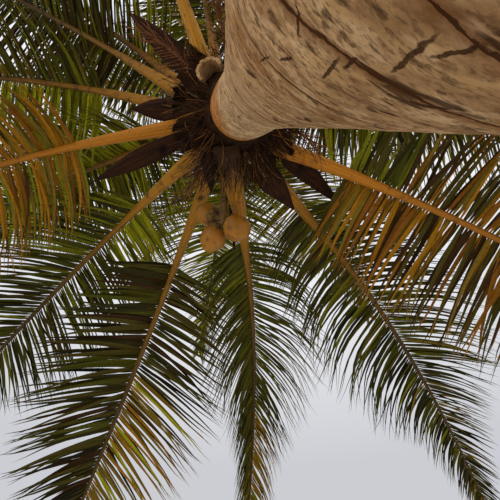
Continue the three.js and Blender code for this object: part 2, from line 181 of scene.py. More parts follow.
def finish(piece, nodes, materials):
    for material in materials:
        piece.data.materials.append(material)
    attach(piece, palmBody)
    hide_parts(*nodes)


def joinPieces(pieces, name):
    pick(pieces[0])
    for piece in pieces:
        piece.select_set(True)
    bpy.ops.object.join()
    return named(name)


# A grid is rolled into a tube: places holds its rows of points, and each row is closed on itself. The
# grid's own UV map stays, across the girth and along the length. Layers are point attributes of the rows.
def rollTube(name, places, smooth=50, **layers):
    rows, columns = places.shape[:2]
    places[:, -1] = places[:, 0]
    bpy.ops.mesh.primitive_grid_add(x_subdivisions=columns - 1, y_subdivisions=rows - 1, size=2)
    tube = named(name)
    writeSpots(tube, places)
    for label, values in layers.items():
        kind, key = ("FLOAT", "value") if values.ndim == 2 else ("FLOAT_VECTOR", "vector")
        layer = tube.data.attributes.new(label, kind, "POINT")
        layer.data.foreach_set(key, values.astype(np.float32).reshape(-1))
    onAll(bpy.ops.mesh.remove_doubles, threshold=1e-6)
    onAll(bpy.ops.mesh.fill_holes, sides=0)
    onAll(bpy.ops.mesh.normals_make_consistent)
    smoothUnder(smooth)
    return tube


# Rows of points: x aside and y over the middle of each row.
def rowPlaces(middles, side, over, x, y):
    return middles[:, None] + side[..., None, :] * x[..., None] + over[:, None] * y[..., None]


def ringPlaces(middles, ways, sideWay, radius, angles):
    side = unit(sideWay - ways * dot(sideWay, ways))
    return rowPlaces(middles, side, np.cross(ways, side), radius * np.cos(angles), radius * np.sin(angles))


def tubeAlong(name, line, radius, angles, sideWay=aslant, smooth=60):
    ways = unit(np.gradient(line, axis=0))
    return rollTube(name, ringPlaces(line, ways, sideWay, radius, angles), smooth)


# Many slim closed forms in one mesh. Their lines are middle, across and normal, each [form, row, xyz].
# wide and deep are [form, row], section is the outline of a row, and the last row of a form is its tip.
def sweepMany(name, lines, wide, deep, section, looks):
    middle, across, normal = lines
    count, rows = middle.shape[:2]
    sides = len(section)
    x, y = wide[:, :-1, None] * section[:, 0], deep[:, :-1, None] * section[:, 1]
    aside = across[:, :-1, None] * x[..., None] + normal[:, :-1, None] * y[..., None]
    ring = middle[:, :-1, None] + aside
    points = np.concatenate([ring.reshape(count, -1, 3), middle[:, -1:]], axis=1)
    each = points.shape[1]
    row, side = np.meshgrid(np.arange(rows - 2), np.arange(sides), indexing="ij")
    row, side = row.ravel() * sides, side.ravel()
    nextSide = (side + 1) % sides
    quads = np.stack([row + side, row + nextSide, row + sides + nextSide, row + sides + side], axis=1)
    last = (rows - 2) * sides
    edge = np.arange(sides)
    tips = np.stack([last + edge, last + (edge + 1) % sides, np.full(sides, each - 1)], axis=1)
    loops = np.concatenate([quads.ravel(), tips.ravel(), edge[::-1]])
    sizes = np.concatenate([np.full(len(quads), 4), np.full(sides, 3), [sides]])
    allSizes = np.tile(sizes, count)
    starts = (np.arange(count) * each)[:, None]
    mesh = bpy.data.meshes.new(name)
    mesh.vertices.add(count * each)
    mesh.vertices.foreach_set("co", points.reshape(-1).astype(np.float32))
    mesh.loops.add(count * len(loops))
    mesh.loops.foreach_set("vertex_index", (loops[None] + starts).ravel().astype(np.int32))
    mesh.polygons.add(len(allSizes))
    mesh.polygons.foreach_set("loop_start", (np.cumsum(allSizes) - allSizes).astype(np.int32))
    mesh.update(calc_edges=True)
    mesh.validate()  # this clears the material indexes, so they are set after it
    mesh.polygons.foreach_set("material_index", np.repeat(looks, len(sizes)).astype(np.int32))
    piece = addObject(name, mesh)
    pick(piece)
    smoothUnder(38)
    return piece


# Lines that start one way and bend down as they go, with a cross direction for each row.
def hangingLines(base, out, length, rows, sag, random, curl=0.25):
    t = np.linspace(0, 1, rows) ** 1.25  # closer rows near the root
    bent = (sag[:, None] * t**1.2)[..., None]
    wave = random.normal(0, curl, (len(base), 1, 3)) * t[None, :, None] ** 1.5
    ways = unit(out[:, None] * (1 - bent) - up * bent + wave)
    steps = ways * (length / (rows - 1))[:, None, None]
    middle = base[:, None] + np.cumsum(steps, axis=1) - steps[:, :1]
    flat = unit(np.cross(out, up))[:, None]
    across = unit(flat - ways * dot(flat, ways))
    return middle, across, np.cross(ways, across)


def linearColor(code):
    channels = [int(code[i:i + 2], 16) / 255 for i in (1, 3, 5)]
    return (*[c / 12.92 if c <= 0.04045 else ((c + 0.055) / 1.055) ** 2.4 for c in channels], 1)


# The nodes of one tree. What is added gives its outputs.
class Nodes:
    def __init__(self, tree):
        self.tree = tree

    def add(self, kind, inputs=None, **settings):
        made = self.tree.nodes.new(kind)
        for key, value in settings.items():
            setattr(made, key, value)
        for key, value in (inputs or {}).items():
            if isinstance(value, bpy.types.NodeSocket):
                self.tree.links.new(value, made.inputs[key])
            else:
                made.inputs[key].default_value = value
        return made.outputs

    def ramp(self, value, low, high):
        return self.add("ShaderNodeMapRange", {"Value": value, "From Min": low, "From Max": high})[0]

    def calc(self, a, b, operation="MULTIPLY"):
        return self.add("ShaderNodeMath", {0: a, 1: b}, operation=operation)[0]

    def vector(self, operation, *values):
        return self.add("ShaderNodeVectorMath", dict(enumerate(values)), operation=operation)[0]

    def split(self, place):
        return self.add("ShaderNodeSeparateXYZ", {"Vector": place})

    def noise(self, place, scale, detail, roughness=0.5):
        return self.add("ShaderNodeTexNoise", {
            "Vector": place, "Scale": scale, "Detail": detail, "Roughness": roughness})

    # a place shifted by noise of up to a size
    def shift(self, place, scale, detail, size, roughness=0.5):
        return self.vector("MULTIPLY_ADD", self.noise(place, scale, detail, roughness)["Color"], size, place)


def makeGroup(name, vectors, numbers, fill):
    group = Nodes(bpy.data.node_groups.new(name, "ShaderNodeTree"))
    for labels, kind in ((vectors, "NodeSocketVector"), (numbers, "NodeSocketFloat")):
        for label in labels:
            group.tree.interface.new_socket(label, in_out="INPUT", socket_type=kind)
    group.tree.interface.new_socket("Mask", in_out="OUTPUT", socket_type="NodeSocketFloat")
    group.add("NodeGroupOutput", {"Mask": fill(group, group.add("NodeGroupInput"))})
    return group.tree


def fillBlotches(group, given):
    field = group.noise(given["Vector"], given["Scale"], given["Detail"])
    return group.ramp(field["Fac"], given["Low"], given["High"])


# Fibres that run along V of a UV map, finer across it than along it.
def fillStreaks(group, given):
    axes = group.split(given["Vector"])
    place = group.add("ShaderNodeCombineXYZ", {
        "X": group.calc(axes["X"], given["Across"]), "Y": group.calc(axes["Y"], given["Along"])})
    return group.ramp(group.noise(place[0], 1.0, 4.0)["Fac"], given["Low"], given["High"])


# Thin ragged lines between uneven cells, like dried bark.
def fillCracks(group, given):
    place = group.shift(given["Vector"], 45.0, 8.0, given["Ragged"])
    cells = group.add("ShaderNodeTexVoronoi", {
        "Vector": place, "Scale": given["Scale"]}, feature="DISTANCE_TO_EDGE")
    return group.ramp(cells["Distance"], given["Width"], 0.0)


# One gash round a middle, in a place whose X and Y are metres along the surface.
def fillGash(group, given):
    away = group.vector("SUBTRACT", given["Vector"], given["Middle"])
    turned = group.add("ShaderNodeVectorRotate", {
        "Vector": away, "Angle": given["Turn"]}, rotation_type="Z_AXIS")
    axes = group.split(turned[0])
    along, across = (group.ramp(group.calc(axes[axis], 0.0, "ABSOLUTE"), given[size], 0.0)
                     for axis, size in (("X", "Long"), ("Y", "Width")))
    return group.calc(along, across)


blotchGroup = makeGroup("blotches", ["Vector"], ["Scale", "Detail", "Low", "High"], fillBlotches)
streakGroup = makeGroup("streaks", ["Vector"], ["Across", "Along", "Low", "High"], fillStreaks)
crackGroup = makeGroup("cracks", ["Vector"], ["Scale", "Width", "Ragged"], fillCracks)
gashGroup = makeGroup("gash", ["Vector", "Middle"], ["Turn", "Long", "Width"], fillGash)


# A material in the making: its color starts as one code, and each coat lays another over it by a mask.
class Finish(Nodes):
    def __init__(self, name, roughness, gloss, code):
        self.material = bpy.data.materials.new(name)
        self.material.use_nodes = True
        super().__init__(self.material.node_tree)
        self.shader = self.tree.nodes["Principled BSDF"].inputs
        self.shader["Roughness"].default_value = roughness
        self.shader["Specular IOR Level"].default_value = gloss
        coordinates = self.add("ShaderNodeTexCoord")
        self.place, self.uv, self.color = coordinates["Object"], coordinates["UV"], code

    def mask(self, group, **inputs):
        return self.add("ShaderNodeGroup", inputs, node_tree=group)["Mask"]

    def stretched(self, x, y, z):
        return self.add("ShaderNodeMapping", {"Vector": self.place, "Scale": (x, y, z)})[0]

    def blotches(self, scale, low, high, detail=3.0, place=None):
        place = place or self.place
        return self.mask(blotchGroup, Vector=place, Scale=scale, Detail=detail, Low=low, High=high)

    def streaks(self, across, along, low, high):
        return self.mask(streakGroup, Vector=self.uv, Across=across, Along=along, Low=low, High=high)

    def layer(self, label, output):
        return self.add("ShaderNodeAttribute", attribute_name=label)[output]

    def coat(self, code, mask, share=1):
        mask = mask if share == 1 else self.calc(mask, share)
        under = linearColor(self.color) if isinstance(self.color, str) else self.color
        inputs = {"Factor": mask, 6: under, 7: linearColor(code)}  # 6 and 7 are the two colors
        self.color = self.add("ShaderNodeMix", inputs, data_type="RGBA")[2]

    # each row a color, its share and its blotches
    def coats(self, *rows):
        for code, share, *numbers in rows:
            self.coat(code, self.blotches(*numbers), share)

    def close(self, height=None, distance=0.0, strength=0.0):
        self.tree.links.new(self.color, self.shader["Base Color"])
        if height is not None:
            bump = self.add("ShaderNodeBump", {"Height": height, "Distance": distance, "Strength": strength})
            self.tree.links.new(bump[0], self.shader["Normal"])
        return self.material


# A finish of blotches only. The bump is a distance, a strength and its blotches.
def plainFinish(name, roughness, gloss, code, coats, bump):
    made = Finish(name, roughness, gloss, code)
    made.coats(*coats)
    return made.close(made.blotches(*bump[2:]), *bump[:2])


trunk = {
    "height": 4.037, "radius": 0.136, "endRadius": 0.168, "swellFrom": 3.0,
    "flare": 0.108, "flareHeight": 0.26, "taper": 0.008, "taperHeight": 1.3, "lobes": 5, "lobeDepth": 0.07,
    "sides": 160, "steps": 600,
    "scarGap": 0.046, "scarUneven": 0.011, "scarHalf": 0.006, "scarDepth": 0.0009, "scarShares": (0.15, 0.85),
    "splits": 420, "splitLong": (0.008, 0.03), "splitHalf": 0.005,
    "lumps": ((0.11, 0.0035), (0.022, 0.0009)),  # each the size of a lump and how far it stands out
    # heights of the strong rings, the turn where they are strongest, and a stretch where the rings slant
    "deepScars": (1.707, 1.786, 1.94, 2.19, 2.47, 2.74, 3.22), "deepShare": 1.5, "deepTurn": 2.3,
    "slant": 0.085, "slantTurn": 124, "slantFrom": 1.69, "slantTo": 1.95,
    # the heights and the half turn that are left to gashes and free of splits
    "gashed": (1.65, 2.05, 0.6),
    # gashes between the rings, each from one turn and height to another, and its half width
    "gashes": (
        (142, 1.802, 138, 1.832, 0.0022), (124, 1.77, 127, 1.72, 0.0026), (124.5, 1.734, 123.5, 1.71, 0.0024),
        (143, 1.998, 141, 1.94, 0.0022), (138, 1.912, 136, 1.874, 0.003), (128, 1.858, 130, 1.806, 0.0024),
        (128, 1.812, 128.5, 1.786, 0.0022), (127, 1.797, 116, 1.764, 0.004), (124, 1.801, 118, 1.799, 0.003),
        (124, 2.0, 117, 2.008, 0.003), (133, 2.44, 119, 2.497, 0.0035), (119, 1.804, 111, 1.772, 0.004),
        (131, 3.195, 102, 3.369, 0.006), (125, 1.938, 114, 1.91, 0.0026), (124, 1.852, 118, 1.848, 0.0035),
        (128.5, 1.793, 121, 1.785, 0.011), (123, 1.787, 116, 1.77, 0.018), (118, 1.777, 112, 1.76, 0.015),
        (120, 1.804, 113, 1.79, 0.01), (114, 1.846, 110, 1.84, 0.008), (125, 1.708, 118, 1.7, 0.008),
    ),
    # shares of a gash's length and half width that its mask takes, and how far its edge is shifted
    "gashLong": 0.62, "gashWide": 0.5, "ragged": (0.004, 0.003),
}


def trunkLine(h):
    h = np.asarray(h, dtype=float)
    return np.stack([-0.04 * h - 0.000288 * h**4, 0.306 * h + 0.000245 * h**4, h], axis=-1)


def trunkWay(h):
    return unit(trunkLine(h + 0.005) - trunkLine(h - 0.005))


def trunkRadius(h):
    foot = trunk["flare"] * np.exp(-h / trunk["flareHeight"])
    taper = trunk["taper"] * np.exp(-h / trunk["taperHeight"])
    swell = (trunk["endRadius"] - trunk["radius"]) * ease(
        (h - trunk["swellFrom"]) / (trunk["height"] - trunk["swellFrom"]))
    return trunk["radius"] + foot + taper + swell


# Leaf scars: ring lines round the trunk, stronger over part of the girth, each turned on from the last by
# the golden angle. Gives the count of rings up to a point, how strong its ring is, and how the bark sinks.
def scarPattern(h, angle, random):
    marks = np.arange(0.1, trunk["height"] + 0.1, trunk["scarGap"])
    marks = marks + random.uniform(-trunk["scarUneven"], trunk["scarUneven"], len(marks))
    for deep in trunk["deepScars"]:
        marks[np.argmin(np.abs(marks - deep))] = deep
    waves = sum(0.006 / n * np.sin(n * (angle + 0.6 * h) + 5 * n) for n in (1, 2, 3, 5, 9))
    lift = ease((h - trunk["slantFrom"]) / 0.13) * (1 - ease((h - trunk["slantTo"]) / 0.25))
    lift = trunk["slant"] * lift * np.sin(angle - math.radians(trunk["slantTurn"]))
    level = h - waves * ease(h / 0.3) - lift
    ring = np.interp(level, marks, np.arange(len(marks)))
    nearest = np.clip(np.round(ring).astype(int), 0, len(marks) - 1)
    deep = np.isin(marks, trunk["deepScars"])
    depth = np.where(deep, trunk["deepShare"], random.uniform(*trunk["scarShares"], len(marks)))[nearest]
    phase = np.where(deep, trunk["deepTurn"], np.radians(goldenAngle * np.arange(len(marks))))[nearest]
    strength = depth * ease((np.cos(angle - phase) + 0.6) / 0.9)
    sink = strength * np.exp(-(((level - marks[nearest]) / trunk["scarHalf"]) ** 2))
    return ring, strength, sink


# Short splits that run up the trunk between the rings.
def splitPattern(h, angle, random):
    split = np.zeros_like(h)
    foot, top, halfTurn = trunk["gashed"]
    for _ in range(trunk["splits"]):
        height, turn = random.uniform(0.1, trunk["height"] - 0.05), random.uniform(-math.pi, math.pi)
        long, lean = random.uniform(*trunk["splitLong"]), random.uniform(-0.3, 0.3)
        strength = random.uniform(0.3, 1)
        if foot < height < top and abs(turn - trunk["deepTurn"]) < halfTurn:
            continue
        low, high = (np.searchsorted(h[:, 0], height + end * long) for end in (-1.5, 1.5))
        rise = h[low:high] - height
        off = angleTo(angle[low:high], turn) * trunk["radius"] - lean * rise
        share = np.exp(-((off / trunk["splitHalf"]) ** 2)) * np.exp(-((rise / long) ** 4))
        split[low:high] += strength * share
    return split


def trunkHeights():
    plan = np.array([0, 0.12, 0.6, 1.45, 2.3, 3.1, trunk["height"]])  # close rows where the bark is near
    share = np.array([0, 0.03, 0.1, 0.26, 0.62, 0.8, 1])
    return np.interp(np.linspace(0, 1, trunk["steps"] + 1), share, plan)


def makeTrunk():
    random = np.random.default_rng(seed)
    heights, angles = trunkHeights(), circle(trunk["sides"], -math.pi / 3)
    h, angle = np.meshgrid(heights, angles, indexing="ij")
    ring, strength, sink = scarPattern(h, angle, random)
    split = splitPattern(h, angle, random)
    inside = ease(h / 0.03) * ease((trunk["height"] - h) / 0.02)
    lobes = trunk["lobeDepth"] * np.exp(-h / trunk["flareHeight"]) * np.cos(trunk["lobes"] * angle + 0.6)
    radius = trunkRadius(h) * (1 + lobes) - trunk["scarDepth"] * np.minimum(sink + split, 1.6) * inside
    upright = ease(heights / 0.5)[:, None]
    ways = unit(up * (1 - upright) + trunkWay(heights) * upright)
    skin = np.stack([angle * trunk["radius"], h, 0 * h], axis=-1)
    piece = rollTube("trunk_bark", ringPlaces(trunkLine(heights), ways, east, radius, angles),
                     ring=ring, scar=strength, split=split, skin=skin)
    for size, out in trunk["lumps"]:
        addLumps(piece, size, out, 3)
    spots = readSpots(piece)
    spots[:, 2] = np.where(spots[:, 2] < 0.006, 0.0, spots[:, 2])  # the cut on the ground stays flat
    writeSpots(piece, spots)
    return piece


def makeBarkFinish():
    bark = Finish("barkFinish", 0.92, 0.05, "#c39a69")
    blotches, calc, ramp = bark.blotches, bark.calc, bark.ramp
    spot = bark.split(bark.place)
    ring, strength, split = (bark.layer(label, "Fac") for label in ("ring", "scar", "split"))

    def along(squeeze):  # a place that follows the rings, with its pattern drawn out along them
        return bark.add("ShaderNodeCombineXYZ", {
            "X": spot["X"], "Y": spot["Y"], "Z": calc(ring, trunk["scarGap"] * squeeze)})[0]

    tall, even, drawn = along(0.35), along(1.0), along(2.6)
    far = ramp(spot["Z"], 2.1, 2.9)
    bark.coats(("#987248", 1, 9, 0.4, 0.6, 5.0, tall), ("#d0a878", 0.8, 24, 0.46, 0.64, 6.0, tall),
               ("#94632f", 0.75, 5, 0.52, 0.64, 5.0, drawn), ("#845c39", 0.6, 60, 0.46, 0.66, 6.0, tall),
               ("#7a5636", 0.5, 55, 0.52, 0.62, 6.0), ("#e0bc8e", 0.4, 38, 0.54, 0.6, 7.0),
               ("#66482f", 0.7, 230, 0.5, 0.66))
    bark.coat("#fad09a", far, 0.68)
    # the smooth end under the crown, and its flank
    bark.coat("#dd9549", calc(ramp(spot["Z"], 3.7, 3.92), blotches(9, 0.1, 0.5)))
    bark.coat("#cc823c", calc(ramp(spot["X"], -0.28, -0.335), ramp(spot["Z"], 3.35, 3.6)), 0.8)
    heavy, rough = blotches(6.5, 0.38, 0.66, 3.0, even), blotches(120, 0.3, 0.7, 8.0)
    # the ring lines lie a little above the groove's middle, where they show from below: painted shade on the
    # groove's wall that faces down
    place = calc(ring, calc(calc(rough, 1.2, "SUBTRACT"), 0.06), "ADD")
    near = calc(place, 0.5, "PINGPONG")
    width = calc(calc(strength, calc(heavy, 0.25, "ADD")), calc(rough, 0.3, "ADD"))
    width = calc(calc(width, 0.036), calc(far, 1.0, "ADD"))
    line = ramp(ramp(near, width, 0.0), 0.0, 0.6)
    # a brown band round each ring line: partly the leaf scar's own colour, partly painted shade along the
    # groove
    bark.coat("#7a4f2b", calc(ramp(near, 0.2, 0.0), strength), 0.6)
    gap = ramp(calc(split, calc(rough, 0.3, "ADD")), 0.2, 0.42)
    fine = bark.mask(crackGroup, Vector=drawn, Scale=34, Width=0.15, Ragged=0.03)
    fine = calc(fine, calc(blotches(11, 0.3, 0.5), far))
    dash = calc(blotches(70, 0.6, 0.68, 7.0), 0.8)
    # painted shade in the grooves: ring lines, splits, cracks, dashes and gashes are gathered into one mask,
    # coloured near black below and sunk in the relief
    dark = line
    for one in (gap, fine, dash):
        dark = calc(dark, one, "MAXIMUM")
    skin = bark.shift(bark.layer("skin", "Vector"), 150.0, 6.0, (*trunk["ragged"], 0), 0.6)
    for startTurn, low, endTurn, high, half in trunk["gashes"]:
        start, stop = (np.array([math.radians(turn) * trunk["radius"], level])
                       for turn, level in ((startTurn, low), (endTurn, high)))
        middle = (start + stop) / 2 + np.array(trunk["ragged"]) / 2  # the shift's mean
        gash = bark.mask(gashGroup, Vector=skin, Middle=(*middle, 0), Turn=-math.atan2(*(stop - start)[::-1]),
                         Long=float(np.linalg.norm(stop - start)) * trunk["gashLong"],
                         Width=half * trunk["gashWide"])
        dark = calc(dark, ramp(gash, 0.1, 0.4), "MAXIMUM")
    # painted shade: the gathered groove marks are coloured near black, as the shaded walls of their grooves
    bark.coat("#3a1b05", dark, 0.88)
    relief = calc(calc(rough, 0.5), calc(dark, 1.4), "SUBTRACT")
    return bark.close(calc(relief, calc(blotches(260, 0.3, 0.7), 0.3), "ADD"), 0.003, 0.9)


heart = {
    "height": 1.18, "radii": [0.172, 0.214, 0.24, 0.25, 0.232, 0.186, 0.128, 0.084, 0.04],
    "sides": 120, "rows": 90, "lean": 0.55, "upright": 0.93,
    # folds of old leaf bases: where the first starts and the step to the next, in shares of the height, how
    # far their rims climb aside, their half width, how far they fade upwards, and how far they stand out
    "folds": 34, "foldFrom": 0.03, "foldStep": 0.028, "foldClimb": 0.05, "foldHalf": 1.1, "foldTail": 0.05,
    "foldOut": 0.008, "ripples": 23, "rippleOut": 0.004,
}
crown = np.array([-0.329, 1.541, 4.568])
crownLean = np.array([-0.12, 0.2, 1.0])


def heartLine(h):
    h = np.asarray(h, dtype=float)[..., None]
    lean = heart["lean"] * np.clip(h / heart["height"], 0, 1)
    way = unit(mix(trunkWay(trunk["height"]), crownLean, lean))
    return trunkLine(trunk["height"]) + way * h


def besideHeart(turn, height, out):
    middle = heartLine((crown[2] + height - trunk["height"]) / heart["upright"])
    return middle + heading(turn, 0) * np.asarray(out)[..., None]


def makeHeart():
    t, angles = np.linspace(0, 1, heart["rows"] + 1), circle(heart["sides"], -math.pi)
    rows, angle = np.meshgrid(t, angles, indexing="ij")
    radius = between(heart["radii"], rows)
    for k in range(heart["folds"]):
        side = angleTo(angle, math.radians(goldenAngle * k))
        rise = rows - (heart["foldFrom"] + heart["foldStep"] * k) - heart["foldClimb"] * np.abs(side)
        fold = np.exp(-((side / heart["foldHalf"]) ** 4)) * ease((rise + 0.01) / 0.01)
        fold = fold * np.exp(-np.maximum(rise, 0) / heart["foldTail"])
        radius = radius + heart["foldOut"] * fold * ease(t[:, None] / 0.03)
    radius = radius + heart["rippleOut"] * np.sin(heart["ripples"] * angle + 9 * rows) * ease(rows / 0.05)
    ways = np.repeat(trunkWay(trunk["height"])[None], len(t), axis=0)
    middles = heartLine(mix(0.0003, heart["height"], t))
    return rollTube("heart_fibre", ringPlaces(middles, ways, east, radius, angles))


def onHeart(t, turn, sunk):
    return heartLine(t * heart["height"]) + heading(turn, 0) * (between(heart["radii"], t) - sunk)[:, None]


# Hairs and flaps of the loose fibre: the part of the heart's height that they come out of, how far they
# turn aside and up or down, and how much they sag. Front hairs hang over the foot of the middle fronds.
hair = {
    "count": 4400, "rows": 7, "from": (0.02, 0.82), "aside": 50, "rise": (-50, 35), "sag": (0.1, 0.9),
    "long": (0.05, 0.3), "thick": (0.0009, 0.0022), "sunk": 0.01,
    "front": 0.2, "frontFrom": (0.05, 0.32), "frontTurn": (62, 132), "frontLong": 1.4, "frontDown": 15,
    # those that would hide the cut leaf base or the first peg, beside and above it, are moved up
    "baseClear": (34, 0.3), "pegClear": (9, 0.25), "moved": 0.3,
    "tints": (("hairDark", "#150c06", "#2a190c", 0.55), ("hairBrown", "#3b2410", "#5a3717", 0.35),
              ("hairLight", "#7c5426", "#a8712c", 0.1)),
}
flap = {
    "count": 60, "rows": 9, "from": (0.04, 0.6), "aside": 35, "rise": (-25, 45), "sag": (0.3, 0.9),
    "long": (0.12, 0.26), "wide": (0.03, 0.08), "uneven": (0.8, 1.15), "thick": 0.003, "sunk": 0.02,
    "profile": [0.7, 0.9, 1, 0.95, 0.85, 0.75, 0.5, 0.35, 0.1],
}


def fibreLines(plan, t, turn, length, out, random):
    sag = random.uniform(*plan["sag"], len(t))
    return hangingLines(onHeart(t, turn, plan["sunk"]), out, length, plan["rows"], sag, random)


def makeHairs(random):
    count = hair["count"]
    front = random.random(count) < hair["front"]
    t = np.where(front, random.uniform(*hair["frontFrom"], count), random.uniform(*hair["from"], count))
    turn = np.where(front, random.uniform(*hair["frontTurn"], count), random.uniform(0, 360, count))
    for root, (half, below) in ((leafBase["root"], hair["baseClear"]), (pegs[0][0], hair["pegClear"])):
        t = np.where((np.abs(turn - root) < half) & (t < below), t + hair["moved"], t)
    length = random.uniform(*hair["long"], count) * mix(1.0, 0.6, t) * np.where(front, hair["frontLong"], 1)
    aside = random.uniform(-hair["aside"], hair["aside"], count)
    out = heading(turn + aside, random.uniform(*hair["rise"], count) - hair["frontDown"] * front)
    lines = fibreLines(hair, t, turn, length, out, random)
    thick = np.repeat(random.uniform(*hair["thick"], count)[:, None], hair["rows"], axis=1)
    triangle = np.array([[math.cos(a), math.sin(a)] for a in np.radians([0, 120, 240])])
    looks = random.choice(3, count, p=[share for *_, share in hair["tints"]])
    return sweepMany("fibre_strands", lines, thick, thick, triangle, looks)


def makeFlaps(random):
    count, rows = flap["count"], flap["rows"]
    t, turn = random.uniform(*flap["from"], count), random.uniform(0, 360, count)
    aside = random.uniform(-flap["aside"], flap["aside"], count)
    out = heading(turn + aside, random.uniform(*flap["rise"], count))
    length = random.uniform(*flap["long"], count)
    lines = fibreLines(flap, t, turn, length, out, random)
    wide = random.uniform(*flap["wide"], count)[:, None] * np.array(flap["profile"])
    wide = wide * random.uniform(*flap["uneven"], (count, rows))
    sheet = np.array([[1, -5], [0, 1], [-1, -5], [0, -1]])
    thick = np.full((count, rows), flap["thick"])
    return sweepMany("fibre_flaps", lines, wide, thick, sheet, np.zeros(count))


def makeFibreFinish():
    fibre = Finish("fibreFinish", 0.95, 0.1, "#1d1008")
    weave = fibre.stretched(1.6, 1.6, 0.5)
    fibre.coats(("#382110", 1, 38, 0.35, 0.65, 5.0, weave), ("#6a4620", 1, 160, 0.55, 0.72, 5.0, weave),
                ("#140b06", 1, 12, 0.5, 0.62))
    return fibre.close(fibre.blotches(130, 0.2, 0.8, 6.0, weave), 0.004, 0.9)


# The fronds that the photo shows, by the same rule and sizes as the solids. fan is the leaflets' angle to
# the rib at its foot, close says how late it narrows, and near and far are the letters of their tints.
frondKeys = ("turn", "rise", "bend", "sweep", "height", "late", "hang", "bare", "fan", "close",
             "tint", "near", "far")
openFronds = [
    (168, 13, 75, -2, 0.09, 1.14, 0.4, 0.22, 88, 1.4, "gold", "yyssrf", "yyrsbo"),
    (181.5, 43, 72, -1, 0.055, 1.15, 0.4, 0.24, 84, 1.6, "olive", "ogfos", "oodgb"),
    (134, 23, 74, 7, 0.01, 1.08, 0.22, 0.2, 76, 1.3, "green", "fgdgo", "gddko"),
    (111, 3, 69, 12, 0.14, 1.08, 0.14, 0.25, 84, 1.2, "olive", "ogdbo", "dkdobd"),
    (84, 34, 80, 13, -0.43, 1.17, 0.6, 0.19, 90, 1.2, "olive", "ggfog", "gosdg"),
    (52, 19, 64, 11, -0.17, 1.21, 0.42, 0.16, 80, 1.5, "olive", "ogdgf", "dkdogs"),
    (21, 3, 68, -3, -0.15, 1.19, 0.14, 0.15, 96, 1.5, "gold", "ysrbo", "rbybo"),
    (246, 41, 69, 1, -0.11, 1.23, 0.35, 0.24, 80, 1.4, "green", "ogdbk", "dkdb"),
    (195.5, 50, 50, 11, 0.09, 1.25, 0.3, 0.26, 80, 1.4, "olive", "oobdf", "obdk"),
    (149, 42, 56, 11, 0.16, 1.2, 0.35, 0.2, 80, 1.4, "green", "llflgs", "gflfd"),
    (97, 51, 60, 4, 0.2, 1.2, 0.3, 0.17, 80, 1.4, "green", "lfllgs", "flgf"),
]
# What is true of a frond unless its plan says otherwise. Pairs are for the left and the right of the rib.
# rush: how early the leaflets close, tuck, droop and width: shares of their spread, hang and width, last:
# the angle of the last ones to the rib, end: the share of their length that those keep, patch: where the
# right side, between two shares of the rib, has letters of its own.
plainFrond = {
    "long": 4.3, "fan": 80, "close": 1.4, "out": 0.16, "rush": 1, "tuck": (1, 1), "droop": (1, 1),
    "width": (1, 1), "last": 24, "end": 0.42, "patch": (1, 0, ""),
}
# where a patch deals out f and l, those lime leaflets are painted light shining through the leaflets; its
# other letters are the leaflets' own tints
oddFronds = {
    0: {"width": (1, 0.84)},
    1: {"patch": (0, 0.3, "llfgf")},
    2: {"width": (1, 0.88), "patch": (0, 0.16, "llfgf")},
    3: {"width": (1.3, 0.88), "patch": (0.3, 0.75, "yyslsb")},
    4: {"width": (1, 0.78), "patch": (0.6, 1, "yysgfs"), "rush": 2.2, "tuck": (0.62, 1.05), "last": 33,
        "end": 0.9},
    5: {"width": (1, 0.85), "droop": (1.5, 0.8)},
    6: {"width": (1.18, 0.95), "patch": (0, 0.1, "gfodgf")},
}
frond = {
    "stalkWide": 0.118, "stalkDeep": 0.07, "ribWide": 0.046, "ribTip": 0.011, "stalkShare": 0.27,
    "ribEnd": 0.985, "root": 0.22, "sheath": 0.026, "ribDeep": 0.87, "sides": 14, "rows": 70, "fine": 441,
    "hidden": 4, "young": 14, "inPiece": 8,
}
# Pairs are for the foot and the tip of a rib or of a leaflet, and dip goes by the frond's hang.
leaflet = {
    "gap": 0.0185, "hiddenGap": 0.024, "long": 0.9, "wide": 0.036, "rows": 9, "ridge": 0.0016,
    "foot": (0.42, 0.2),  # where it stands, in shares of the rib's width and depth
    "dip": (0.12, 0.3), "hang": (1.1, 0.8), "narrow": (1, 0.55), "fold": (0.8, 0.5),
    # chance: the sizes of random shifts, and what neighbours share of them
    "uneven": 0.15, "dipSpread": 0.06, "jitter": 4.0, "wave": (0.09, 0.12), "roll": (0.16, 0.3),
    "dipDrift": 0.07, "spreadDrift": 3.0, "hangDrift": 0.03, "rollDrift": 0.12,
    "torn": 0.02, "tornLong": (0.35, 0.7),
}


